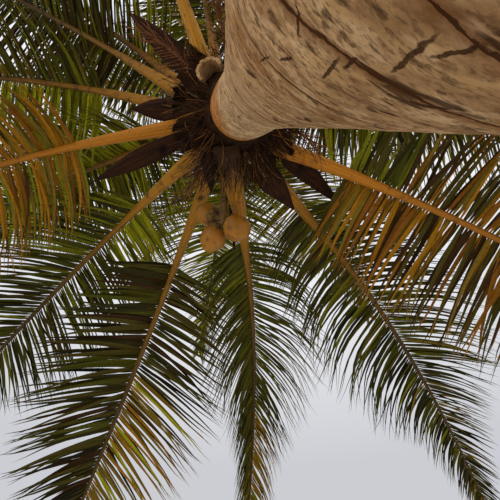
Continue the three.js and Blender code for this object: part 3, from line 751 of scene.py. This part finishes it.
def frondPlans():
    plans = []
    for row in openFronds:
        plan = dict(zip(frondKeys, row))
        plans.append({**plan, "base": crown + up * plan["height"]})
    for k in range(frond["hidden"]):
        plans.append(dict(
            turn=272 + 26.5 * k, rise=34 + 4 * (chance(k + 3) - 0.5), bend=76 + 8 * (chance(k + 9) - 0.5),
            sweep=6 * (chance(k) - 0.5), late=1.18, hang=0.4, bare=0.2,
            long=plainFrond["long"] - 0.15 * chance(k + 1),
            base=crown + np.array([0.02, -0.02, -0.06 + (0.03 if k % 2 else -0.03)])))
    for k in range(frond["young"]):
        age = k / (frond["young"] - 1)
        plans.append(dict(
            turn=10 + goldenAngle * k, rise=mix(47, 81, age**0.9), bend=mix(76, 40, age),
            sweep=10 * (chance(k + 20) - 0.5), late=1.25, hang=mix(0.3, 0.08, age), bare=0.17,
            long=plainFrond["long"] * mix(1, 0.78, age**1.5), out=mix(0.14, 0.04, age),
            base=crown + crownLean * mix(0.04, 0.52, age)))
    for i, plan in enumerate(plans):
        tints = {"tint": "green" if i % 3 else "gold", "near": "lfgo" if i > 14 else "gdok",
                 "far": "odgk" if i < 15 else ("fgod" if i % 3 else "sfgoy")}
        plans[i] = {**plainFrond, **tints, **plan, **oddFronds.get(i, {}), "node": f"frond_{i + 1:02d}",
                    "gap": leaflet["gap" if i < len(openFronds) else "hiddenGap"]}
    return plans


def frondWay(plan, along):
    t = np.maximum(0, along / plan["long"])
    return heading(plan["turn"] + plan["sweep"] * t**1.5, plan["rise"] - plan["bend"] * t ** plan["late"])


def frondFrame(plan, along):
    fine = np.linspace(-frond["root"] - 0.02, plan["long"], frond["fine"])
    steps = frondWay(plan, (fine[1:] + fine[:-1]) / 2) * np.diff(fine)[:, None]
    line = np.vstack([np.zeros(3), np.cumsum(steps, axis=0)])
    start = plan["base"] + heading(plan["turn"], 0) * plan["out"]
    spots = start - onLine(line, fine, 0) + onLine(line, fine, along)
    way = frondWay(plan, along)
    right = unit(np.cross(way, up))
    return spots, way, right, np.cross(right, way)


def ribSize(share):
    t = np.maximum(0, share)
    low = np.minimum(t / frond["stalkShare"], 1)
    far = np.maximum(t - frond["stalkShare"], 0) / (1 - frond["stalkShare"])
    sheath = frond["sheath"] * np.exp(-22 * t)
    joint = frond["ribWide"] * frond["ribDeep"]
    bare = t < frond["stalkShare"]
    wide = np.where(bare, mix(frond["stalkWide"], frond["ribWide"], low) + sheath,
                    mix(frond["ribWide"], frond["ribTip"], far))
    deep = np.where(bare, mix(frond["stalkDeep"], joint, low), mix(joint, frond["ribTip"], far))
    return wide, deep


def makeRib(plan):
    share = np.linspace(0, 1, frond["rows"]) ** 1.25
    along = mix(-frond["root"], plan["long"] * frond["ribEnd"], share)
    spots, way, right, over = frondFrame(plan, along)
    wide, deep = ribSize(along / plan["long"])
    angles = circle(frond["sides"])
    x, y = np.cos(angles), np.sin(angles)
    # flat with a shallow channel on top, keeled underneath
    tall = np.where(y > 0, 0.35 * np.minimum(1, 2.2 * y) * (1 - 0.35 * np.exp(-((x / 0.4) ** 2))),
                    -0.65 * np.abs(y) ** 1.2)
    places = rowPlaces(spots, right, over, wide[:, None] / 2 * x, deep[:, None] * tall)
    return rollTube(plan["node"] + "_rib", places, 60)


def makeLeaflets(plan, random):
    pairs = int(plan["long"] * (frond["ribEnd"] - plan["bare"]) / plan["gap"])
    share = np.tile((np.arange(pairs) + 0.5) / pairs, 2)
    side = np.repeat([-1.0, 1.0], pairs)
    count, rows = len(share), leaflet["rows"]
    share = np.clip(share + random.normal(0, leaflet["uneven"] / pairs, count), 0, 1)
    along = plan["long"] * mix(plan["bare"], frond["ribEnd"], share)
    spots, way, right, over = frondFrame(plan, along)
    wide, deep = ribSize(along / plan["long"])
    aside, lift = leaflet["foot"]
    base = spots + right * (side * wide * aside)[:, None] + over * (deep * lift)[:, None]
    tuck, droop, width = (np.where(side < 0, *plan[key]) for key in ("tuck", "droop", "width"))

    drift = np.repeat(random.normal(0, 1, count // 5 + 1), 5)[:count]  # neighbours lean alike
    dip = mix(*leaflet["dip"], plan["hang"]) + random.normal(0, leaflet["dipSpread"], count)
    dip = dip + leaflet["dipDrift"] * drift
    spread = mix(plan["fan"], plan["last"], np.minimum(1, share * plan["rush"]) ** plan["close"])
    spread = spread + random.normal(0, leaflet["jitter"], count) + leaflet["spreadDrift"] * drift
    spread = np.radians(spread) * tuck
    hang = plan["hang"] * droop * mix(*leaflet["hang"], share) * random.uniform(0.8, 1.2, count)
    hang = hang + leaflet["hangDrift"] * drift
    # longest before the middle of the rib, shorter at the foot and from there on to the tip
    full = 0.62 + 0.38 * np.sin(np.pi * np.minimum(share * 1.6, 1))
    full = full * mix(1, plan["end"], ease((share - 0.45) / 0.55)) * plan["long"] / plainFrond["long"]
    long = leaflet["long"] * full * random.uniform(0.9, 1.03, count)
    torn = random.random(count) < leaflet["torn"]
    long = np.where(torn, long * random.uniform(*leaflet["tornLong"], count), long)
    outward = right * (side * np.cos(dip))[:, None] - over * np.sin(dip)[:, None]
    first = way * np.cos(spread)[:, None] + outward * np.sin(spread)[:, None]

    t = np.linspace(0, 1, rows) ** 1.25  # closer rows near the rib
    bent = ease((t - 0.08) / 0.75) * 1.02 + 0.12 * t**4
    bent = np.clip(hang, 0.02, 0.95)[:, None, None] * bent[None, :, None]
    whole, each = leaflet["wave"]
    ways = unit(first[:, None] * (1 - bent) - up * bent
                + random.normal(0, whole, (count, 1, 3)) * (t**2)[None, :, None]
                + random.normal(0, each, (count, rows, 3)) * (t**3)[None, :, None])
    steps = (ways[:, 1:] + ways[:, :-1]) / 2 * (long[:, None] * np.diff(t)[None])[..., None]
    middle = np.concatenate([base[:, None], base[:, None] + np.cumsum(steps, axis=1)], axis=1)

    rib = way[:, None]
    across = unit(rib - ways * dot(rib, ways))
    normal = np.cross(ways, across)
    flip = np.sign(dot(normal[:, :1], over[:, None]))
    across, normal = across * flip, normal * flip
    start, twist = (random.normal(0, size, count) for size in leaflet["roll"])
    roll = (start + leaflet["rollDrift"] * drift)[:, None, None] + twist[:, None, None] * t[None, :, None]
    cos, sin = np.cos(roll), np.sin(roll)
    across, normal = across * cos + normal * sin, normal * cos - across * sin
    profile = (0.6 + 0.4 * ease(t / 0.05)) * (1 - np.clip((t - 0.18) / 0.82, 0, 1) ** 1.35)
    half = leaflet["wide"] / 2 * mix(*leaflet["narrow"], share) * random.uniform(0.88, 1.1, count) * width
    half, fold = half[:, None] * profile, mix(*leaflet["fold"], ease(t / 0.2))[None]
    looks = np.empty(count, dtype=int)
    low, high, patch = plan["patch"]
    for k, far in enumerate(random.random(count) < share):
        letters = patch if side[k] > 0 and low < share[k] < high else plan["far" if far else "near"]
        looks[k] = list(leafTints).index(letters[random.integers(len(letters))])
    return {"middle": middle, "across": across, "normal": normal, "wide": half * np.cos(fold),
            "deep": half * np.sin(fold), "looks": looks}


# Leaflets that would run into the bark are left out.
def clearOfTrunk(middle):
    z = np.clip(middle[..., 2], 0, trunk["height"])
    away = np.linalg.norm((middle - trunkLine(z))[..., :2], axis=-1)
    near = (away < trunkRadius(z) * 1.06 + 0.03) & (middle[..., 2] < trunk["height"] + 0.05)
    return ~near.any(axis=1)


# a letter for each colour that is dealt out to the leaflets; the lime ones, f and l, are partly the paler
# green of young leaflets and partly painted light, the glow of light shining through the leaflets
leafTints = {
    "k": "#1f1b09", "d": "#35300e", "o": "#4f4512", "g": "#50500e", "f": "#78780f", "l": "#a8a418",
    "s": "#80691e", "y": "#a87412", "r": "#8c5813", "b": "#40290f",
}


def makeLeafFinish(code):
    shade = "#" + "".join("%02x" % int(int(code[i:i + 2], 16) * 0.86) for i in (1, 3, 5))
    bump = (0.0004, 0.35, 260, 0.3, 0.7)
    return plainFinish("leaf" + code[1:], 0.6, 0.12, code, [(shade, 1, 70, 0.35, 0.65)], bump)


# Each leaflet is a folded blade: two halves that fall from a ridge, a little thicker at the midrib.
def makeFoliage(plans, name):
    random = np.random.default_rng(seed + len(name) + int(plans[0]["turn"]))
    grown = [makeLeaflets(plan, random) for plan in plans]
    part = {key: np.concatenate([one[key] for one in grown]) for key in grown[0]}
    keep = clearOfTrunk(part["middle"])
    part = {key: value[keep] for key, value in part.items()}
    section = np.array([[1.0, -1.0], [0.0, 0.0], [-1.0, -1.0], [0.0, 0.0]])
    lines = [part[key] for key in ("middle", "across", "normal")]
    piece = sweepMany(name, lines, part["wide"], np.maximum(part["deep"], 1e-5), section, part["looks"])
    count, rows = part["middle"].shape[0], part["middle"].shape[1] - 1
    spots = readSpots(piece).reshape(count, -1, 3)
    thick = part["normal"][:, :-1] * (leaflet["ridge"] * (1 - np.linspace(0, 1, rows) * 0.6))[None, :, None]
    spots[:, 1:rows * 4:4] += thick
    spots[:, 3:rows * 4:4] -= thick
    writeSpots(piece, spots)
    finish(piece, [plan["node"] for plan in plans], leafFinishes)


def makeRibFinish(name, low, high, dark):
    rib = Finish(name, 0.6, 0.2, low)
    along = rib.split(rib.uv)["Y"]
    rib.coat(high, rib.ramp(along, 0.24, 0.62))
    rib.coat(dark, rib.streaks(26, 3, 0.45, 0.75))
    rib.coats((dark, 1, 14, 0.56, 0.72, 5.0), ("#4b3216", 1, 90, 0.62, 0.72))
    foot = rib.calc(rib.calc(rib.streaks(60, 4, 0.3, 0.7), 0.05), along, "ADD")
    rib.coat("#3a2410", rib.ramp(foot, 0.18, 0.08))
    return rib.close(rib.streaks(40, 2, 0.3, 0.7), 0.0012, 0.5)


ribTints = {
    "gold": ("#c47c18", "#8f5f1c", "#7c4a12"),
    "green": ("#bb801c", "#4d3c12", "#523811"),
    "olive": ("#b0781c", "#4f3c14", "#4c3212"),
}
spear = {
    "heights": [1.08, 1.5, 2.1, 2.75], "foot": 0.038, "tip": 0.007, "pleats": 9, "pleatDepth": 0.13,
    "rows": 70, "sides": 72, "tints": ("#a8923a", "#7f8a30", "#6a6a22"),
}


def makeSpear():
    middles = smoothLine([heartLine(h) for h in spear["heights"]], spear["rows"])
    angles, t = circle(spear["sides"]), np.linspace(0, 1, spear["rows"])[:, None]
    wave = np.sin(spear["pleats"] * angles + 4 * t)
    pleat = 1 + spear["pleatDepth"] * np.sign(wave) * np.abs(wave) ** 0.6
    radius = mix(spear["foot"], spear["tip"], t) * pleat * (0.88 + 0.12 * np.sin(np.pi * t))
    return tubeAlong("spear_leaf_blades", middles, radius, angles, east, 30)


spathe = {
    "rows": 46, "parts": 8, "sides": 48, "foot": 0.24, "tip": 0.04, "deep": 0.42, "wall": 0.78, "shut": 0.25,
    "ridges": 38, "ridgeOut": 0.02, "uneven": 0.012,
}
# root angle, height, distance out, turn, rise, length, width, curl
spathes = [
    (222, 0.106, 0.13, 217, 34, 0.86, 0.165, -10), (150, -0.13, 0.13, 155, 2, 0.9, 0.135, -8),
    (165, -0.2, 0.225, 80, -8, 0.45, 0.085, -50), (84, -0.31, 0.225, 50, -4, 0.49, 0.15, -8),
    (32, -0.08, 0.13, 44, 6, 0.83, 0.145, -10), (92, -0.07, 0.13, 91, -6, 0.78, 0.08, -20),
    (176, 0.03, 0.13, 175, 27, 0.64, 0.18, -6), (300, -0.06, 0.13, 296, 20, 0.7, 0.16, -16),
    (350, 0.04, 0.13, 352, 26, 0.64, 0.15, -14),
]


def makeSpathe(k, root, height, out, turn, rise, long, wide, curl):
    random = np.random.default_rng(seed + 40 + k)
    rows, parts, angles = spathe["rows"], spathe["parts"], circle(spathe["sides"])
    t = np.linspace(0, 1, rows)
    ways = heading(turn, rise + curl * t)
    steps = (np.arange(parts) + 0.5) / parts
    middles = np.stack([besideHeart(root, height, out) + (
        heading(turn, rise + curl * f * steps) * long * f / parts).sum(axis=0) for f in t])
    pointed = mix(1, spathe["tip"], np.clip((t - 0.5) / 0.5, 0, 1) ** 1.6)
    half = (wide / 2) * mix(spathe["foot"], 1, ease(t / 0.5)) * pointed * (1 + 0.05 * np.sin(9 * t + k))
    outer = -spathe["deep"] * np.abs(np.sin(angles)) ** 0.9
    gape = ease(t / spathe["shut"])[:, None]  # shut at its foot, open along the boat
    inner = mix(0.12 * np.sin(angles), outer * spathe["wall"] + 0.02, gape)
    tall = np.where(np.sin(angles) > 0, inner, outer)
    ridge = 1 + spathe["ridgeOut"] * np.sin(spathe["ridges"] * angles)
    ridge = ridge + spathe["uneven"] * random.normal(0, 1, (rows, 1))
    side = heading(turn + 90, 0)
    over = np.cross(ways, side)
    over = over * np.sign(over[:, 2:3] + 1e-6)
    half = half[:, None]
    places = rowPlaces(middles, side, over, half * np.cos(angles) * ridge, half * tall * ridge)
    return rollTube(f"spathe_{k + 1}_husk", places, 40)


def makeHuskFinish():
    husk = Finish("huskFinish", 0.85, 0.12, "#1f1008")
    husk.coat("#3a200f", husk.streaks(34, 2.5, 0.35, 0.7))
    husk.coat("#5c3518", husk.streaks(70, 2.0, 0.5, 0.75), 0.6)
    husk.coat("#150a05", husk.blotches(14, 0.55, 0.75))
    return husk.close(husk.streaks(60, 2.0, 0.3, 0.7), 0.003, 0.8)


flower = {
    "parts": 4, "rows": 24, "droop": 30, "thick": (0.016, 0.005), "spikes": (0.3, 0.98), "aside": (75, 20),
    "spikeRows": 15, "spikeThick": (0.0038, 0.0018), "bead": 0.4,
}
# root angle, height, rise, length, spikelets, spikelet length, sweep
flowerStalks = [
    (118, -0.12, 2, 0.46, 30, 0.24, 20), (224, 0.03, 18, 0.56, 34, 0.26, -10),
    (18, -0.16, 8, 0.38, 26, 0.22, 14), (262, -0.04, 14, 0.48, 28, 0.24, 0),
]


def makeFlowerStalk(k, root, height, rise, long, spikes, spike, sweep):
    random = np.random.default_rng(seed + 60 + k)
    parts, rows, beadRows = flower["parts"], flower["rows"], flower["spikeRows"]
    spots = [besideHeart(root, height, 0.14)]
    for i in range(parts):
        way = heading(root + sweep * i / parts, rise - flower["droop"] * i / parts)
        spots.append(spots[-1] + way * long / parts)
    line = smoothLine(spots, rows)
    taper = mix(*flower["thick"], np.linspace(0, 1, rows)) * (1 + 0.06 * np.sin(np.arange(rows) * 2.1))
    stalk = tubeAlong(f"flower_stalk_{k + 1}_main", line, taper[:, None], circle(10))
    f = np.linspace(*flower["spikes"], spikes)
    base = onLine(line, np.arange(rows), f * (rows - 1))
    side = np.where(np.arange(spikes) % 2, 1, -1) * mix(*flower["aside"], f)
    side = side * random.uniform(0.5, 1.1, spikes)
    out = heading(root + sweep + side, rise - 20 - 50 * random.random(spikes))
    length = spike * random.uniform(0.6, 1.1, spikes)
    lines = hangingLines(base, out, length, beadRows, random.uniform(0.1, 0.6, spikes), random, 0.35)
    beads = flower["bead"] * np.sin(np.arange(beadRows) * 2.4)[None]
    beads = 1 + beads * random.uniform(0.6, 1.2, (spikes, 1))
    thick = mix(*flower["spikeThick"], np.linspace(0, 1, beadRows))[None] * beads
    square = np.array([[1, 0], [0, 1], [-1, 0], [0, -1]], dtype=float)
    spikelets = sweepMany(f"flower_stalk_{k + 1}_spikes", lines, thick, thick, square, np.zeros(spikes))
    return joinPieces([stalk, spikelets], f"flower_stalk_{k + 1}_dry")


nut = {"wide": 0.165, "long": 0.185, "threeSided": 0.045, "narrow": 0.1, "bump": 0.03}
cap = {"neck": 0.012, "reach": 0.056, "scale": 0.012, "up": 0.024, "down": 0.006, "thick": 0.004}
stem = {"thick": (0.03, 0.02), "rows": 30, "neckThick": (0.014, 0.018), "neckRows": 8, "ridges": 6}
# each nut hangs at a turn, a distance out and a depth below the end of its bunch, at a share of full size
bunches = [
    {"root": 99, "height": -0.12, "reach": 0.713, "drop": 0.186,
     "nuts": [(24, 0.117, 0.061, 1), (-97, 0.092, 0.097, 1.02), (71, 0.114, -0.118, 0.95)]},
    {"root": 305, "height": -0.17, "reach": 0.43, "drop": 0.22,
     "nuts": [(60, 0.09, 0.04, 1), (-70, 0.088, 0.06, 0.95), (180, 0.08, 0.07, 0.9)]},
]


# A nut: a ball drawn out into a three-sided egg, with a low bump at its far end.
def makeNut(name, middle, way, size, turn):
    bpy.ops.mesh.primitive_uv_sphere_add(segments=48, ring_count=30, radius=0.5)
    ball = named(name)
    spots = readSpots(ball)
    angle, height = np.arctan2(spots[:, 1], spots[:, 0]), spots[:, 2] * 2
    threeSided = 1 + nut["threeSided"] * np.cos(3 * angle + turn) * (1 - height**2)
    narrow = 1 - nut["narrow"] * np.clip(height, 0, 1) ** 2
    spots[:, :2] *= (threeSided * narrow)[:, None] * nut["wide"] * size
    spots[:, 2] = (spots[:, 2] + nut["bump"] * np.exp(-((height - 1) / 0.1) ** 2)) * nut["long"] * size
    writeSpots(ball, spots)
    stand(ball, middle, way)
    bpy.ops.object.shade_smooth()
    return ball


# The cap where the nut hangs on: six blunt scales that lap each other round a short neck.
def makeCap(name, middle, way, size):
    angles, t = circle(48), np.linspace(0, 1, 9)[:, None]
    scale = np.abs(np.sin(3 * angles))[None] ** 0.5
    reach = mix(cap["neck"], cap["reach"] + cap["scale"] * scale, t**0.8)
    lift = -0.5 * nut["long"] - cap["down"] + cap["up"] * t**2 * (1 + 0.2 * scale)
    outer = np.stack([reach * np.cos(angles), reach * np.sin(angles), lift], axis=-1)
    inner = outer[::-1] * np.array([0.97, 0.97, 1]) + np.array([0, 0, cap["thick"]])
    piece = rollTube(name, np.vstack([outer, inner]) * size, 50)
    stand(piece, middle, way)
    return piece


def makeBunch(k, plan):
    root, height, drop = plan["root"], plan["height"], plan["drop"]
    hang = besideHeart(root, height - drop, plan["reach"])
    shoulder = besideHeart(root, height - drop * 0.2, plan["reach"] * 0.72)
    line = smoothLine([besideHeart(root, height, 0.12), shoulder, hang], stem["rows"])
    angles = circle(16)
    ridge = 1 + 0.05 * np.sin(stem["ridges"] * angles)
    thick = np.linspace(*stem["thick"], stem["rows"])[:, None] * ridge
    stalks, nuts, caps = [tubeAlong(f"bunch_{k + 1}_stalk", line, thick, angles)], [], []
    for i, (turn, out, low, size) in enumerate(plan["nuts"]):
        middle = hang + heading(root + turn, 0) * out - up * low
        way = unit(middle - hang)
        neck = np.linspace(hang - way * 0.01, middle - way * 0.45 * nut["long"] * size, stem["neckRows"])
        girth = np.linspace(*stem["neckThick"], stem["neckRows"])[:, None] * ridge
        stalks.append(tubeAlong(f"bunch_{k + 1}_neck_{i + 1}", neck, girth, angles))
        nuts.append(makeNut(f"nut_{k + 1}_{i + 1}", middle, way, size, turn))
        caps.append(makeCap(f"cap_{k + 1}_{i + 1}", middle, way, size))
    return joinPieces(stalks + caps, f"bunch_{k + 1}_stalks"), joinPieces(nuts, f"bunch_{k + 1}_nuts")


leafBase = {"root": 232, "height": -0.25, "from": 0.15, "to": 0.262, "drop": 0.15,
            "radius": 0.074, "thick": 0.018, "spread": 200, "rounding": 0.004}
# root angle, height, reach, drop, and the radius of the foot and of the cut end
pegs = [(84, -0.33, 0.32, 0.07, 0.04, 0.024), (330, -0.26, 0.31, 0.02, 0.042, 0.034),
        (205, -0.24, 0.3, 0.03, 0.04, 0.032)]


# A strip is bent over into an arch, given its thickness, and its rims are rounded.
def makeLeafBase():
    root, height, thick = (leafBase[key] for key in ("root", "height", "thick"))
    start = besideHeart(root, height, leafBase["from"])
    end = besideHeart(root, height - leafBase["drop"], leafBase["to"])
    way = unit(end - start)
    side = unit(np.cross(heading(root, 0), way))
    bpy.ops.mesh.primitive_grid_add(x_subdivisions=48, y_subdivisions=20, size=2)
    arch = named("cut_leaf_base_arch")
    spots = readSpots(arch)
    angle = np.radians(90 + spots[:, 0] * leafBase["spread"] / 2)
    t = (spots[:, 1] + 1) / 2
    rim = 0.004 * np.sin(9 * angle) + 0.003 * np.sin(23 * angle + 1)
    radius = leafBase["radius"] - thick / 2 + 0.002 * np.sin(14 * angle + 5 * t)
    along = t * (np.linalg.norm(end - start) + rim)
    writeSpots(arch, start + side * (radius * np.cos(angle))[:, None]
               + np.cross(way, side) * (radius * np.sin(angle))[:, None] + way * along[:, None])
    modify(arch, "SOLIDIFY", thickness=thick, offset=0)
    modify(arch, "BEVEL", width=leafBase["rounding"], segments=3, angle_limit=math.radians(50))
    onAll(bpy.ops.mesh.normals_make_consistent)
    smoothUnder(40)
    return arch


# A peg of an old stalk: its cut end is inset and sunk a little, with worn edges.
def makePeg(k, root, height, reach, drop, foot, end):
    start, tip = besideHeart(root, height, 0.11), besideHeart(root, height - drop, reach)
    bpy.ops.mesh.primitive_cone_add(vertices=28, radius1=foot, radius2=end,
                                    depth=float(np.linalg.norm(tip - start)))
    peg = named(f"cut_stalk_{k + 1}_peg")
    bpy.ops.object.mode_set(mode="EDIT")
    bpy.ops.mesh.select_all(action="DESELECT")
    bpy.ops.object.mode_set(mode="OBJECT")
    for face in peg.data.polygons:
        face.select = face.normal.z > 0.9
    bpy.ops.object.mode_set(mode="EDIT")
    bpy.ops.mesh.select_mode(type="FACE")
    for inset, sunk in ((0.18, -0.004), (0.4, 0.003)):
        bpy.ops.mesh.inset(thickness=end * inset)
        bpy.ops.transform.translate(value=(0, 0, sunk))
    onAll(bpy.ops.mesh.subdivide, number_cuts=3)
    addLumps(peg, 0.03, 0.006)
    stand(peg, (start + tip) / 2, unit(tip - start))
    smoothUnder(45)
    return peg


def makeStubFinish():
    stub = Finish("stubFinish", 0.85, 0.2, "#cfa877")
    grain = stub.stretched(2.2, 2.2, 0.8)
    stub.coats(("#a8804f", 1, 16, 0.35, 0.65, 4.0), ("#6a4a2c", 1, 110, 0.5, 0.72, 5.0, grain))
    return stub.close(stub.blotches(120, 0.3, 0.7, 5.0, grain), 0.002, 0.7)


finish(makeTrunk(), ["trunk"], [makeBarkFinish()])
print("trunk done")

fibreFinish = makeFibreFinish()
hairFinishes = [plainFinish(name, 0.85, 0.2, low, [(high, 1, 30, 0.35, 0.65)], (0.0005, 0.4, 300, 0.3, 0.7))
                for name, low, high, _ in hair["tints"]]
finish(makeHeart(), ["crown_heart"], [fibreFinish])
fibreRandom = np.random.default_rng(seed + 1)
finish(makeHairs(fibreRandom), ["crown_heart"], hairFinishes)
finish(makeFlaps(fibreRandom), ["crown_heart"], [fibreFinish])
print("heart done")

plans = frondPlans()
leafFinishes = [makeLeafFinish(code) for code in leafTints.values()]
for tint, tints in ribTints.items():
    chosen = [plan for plan in plans if plan["tint"] == tint]
    ribs = joinPieces([makeRib(plan) for plan in chosen], "ribs_" + tint)
    finish(ribs, [plan["node"] for plan in chosen], [makeRibFinish("rib_" + tint, *tints)])
    for k, start in enumerate(range(0, len(chosen), frond["inPiece"])):
        makeFoliage(chosen[start:start + frond["inPiece"]], f"leaflets_{tint}_{k + 1}")
finish(makeSpear(), ["spear_leaf"], [makeRibFinish("spearFinish", *spear["tints"])])
print("fronds done")

huskFinish, stubFinish = makeHuskFinish(), makeStubFinish()
twigFinish = plainFinish("twigFinish", 0.85, 0.2, "#5a3322", [
    ("#8a5533", 1, 45, 0.35, 0.65, 4.0), ("#b08a4a", 1, 160, 0.58, 0.7)], (0.0012, 0.7, 240, 0.3, 0.7, 4.0))
nutFinish = plainFinish("nutFinish", 0.45, 0.3, "#b0741a", [
    ("#8c5a14", 1, 7, 0.35, 0.65), ("#6b4616", 1, 22, 0.52, 0.7, 5.0), ("#452c14", 0.6, 120, 0.66, 0.74)],
    (0.0008, 0.35, 60, 0.3, 0.7))
capFinish = plainFinish("bunchStalkFinish", 0.7, 0.3, "#7a5a2c", [
    ("#4f3820", 1, 20, 0.4, 0.6, 4.0), ("#97773c", 1, 90, 0.5, 0.7, 4.0)], (0.0015, 0.6, 140, 0.3, 0.7, 4.0))
for k, values in enumerate(spathes):
    finish(makeSpathe(k, *values), [f"spathe_{k + 1}"], [huskFinish])
for k, values in enumerate(flowerStalks):
    finish(makeFlowerStalk(k, *values), [f"flower_stalk_{k + 1}"], [twigFinish])
for k, plan in enumerate(bunches):
    stalks, nuts = makeBunch(k, plan)
    finish(stalks, [f"nut_bunch_{k + 1}"], [capFinish])
    finish(nuts, [f"nut_bunch_{k + 1}"], [nutFinish])
finish(makeLeafBase(), ["cut_leaf_base"], [stubFinish])
for k, values in enumerate(pegs):
    finish(makePeg(k, *values), [f"cut_stalk_{k + 1}"], [stubFinish])
print("spathes, stalks, nuts and stubs done")

studio = {
    "floor": 120, "sky": (0.6, 0.61, 0.65, 1), "zenith": (0.9, 0.9, 0.93, 1), "skyRise": (0.55, 0.85),
    "skyPower": 1.0,
    "aim": (-0.3, 1.5, 3), "lampSize": 12,
    "lamps": (("key", (9, -10, 18), 2600, (1, 0.97, 0.92)), ("fill", (-14, -6, 12), 1000, (1, 0.98, 0.95))),
    "eye": (-0.2023, 0.61457, 1.55), "rise": 58, "sensor": 36, "lens": 34.56, "clip": (0.005, 200),
}


def makeFloor():
    bpy.ops.mesh.primitive_plane_add(size=studio["floor"], location=(0, 0, -0.001))
    bpy.ops.object.transform_apply(location=True)
    floor = bpy.context.object
    floor.name = "studio_floor"
    paving = Finish("floorFinish", 0.9, 0.2, "#dad8d3")
    paving.coat("#d2d0cb", paving.blotches(0.6, 0.3, 0.7))
    floor.data.materials.append(paving.close())


# A soft sky that is paler towards its top.
def makeSky():
    world = bpy.data.worlds.new("studio")
    world.use_nodes = True
    sky = Nodes(world.node_tree)
    height = sky.split(sky.add("ShaderNodeTexCoord")["Generated"])["Z"]
    tones = {"Factor": sky.ramp(height, *studio["skyRise"]), 6: studio["sky"], 7: studio["zenith"]}
    tone = sky.add("ShaderNodeMix", tones, data_type="RGBA")[2]
    backdrop = sky.tree.nodes["Background"].inputs
    sky.tree.links.new(tone, backdrop["Color"])
    backdrop["Strength"].default_value = studio["skyPower"]
    bpy.context.scene.world = world
    bpy.context.scene.view_settings.view_transform = "Standard"


def addLamp(name, place, power, color):
    data = bpy.data.lights.new(name, "AREA")
    data.shape, data.size, data.energy, data.color = "DISK", studio["lampSize"], power, color
    lamp = addObject(name, data)
    lamp.location = place
    lamp.rotation_euler = (Vector(studio["aim"]) - Vector(place)).to_track_quat("-Z", "Y").to_euler()


def addCamera():
    data = bpy.data.cameras.new("photo_camera")
    data.sensor_width, data.lens = studio["sensor"], studio["lens"]
    data.clip_start, data.clip_end = studio["clip"]
    camera = addObject("photo_camera", data)
    rise = math.radians(studio["rise"])
    right, look = Vector((1, 0, 0)), Vector((0, math.cos(rise), math.sin(rise)))
    upward = Vector((0, -math.sin(rise), math.cos(rise)))
    turned = Matrix((right, upward, -look)).transposed().to_4x4()
    camera.matrix_world = Matrix.Translation(Vector(studio["eye"])) @ turned
    bpy.context.scene.camera = camera


makeFloor()
makeSky()
for lamp in studio["lamps"]:
    addLamp(*lamp)
addCamera()
print("studio done")
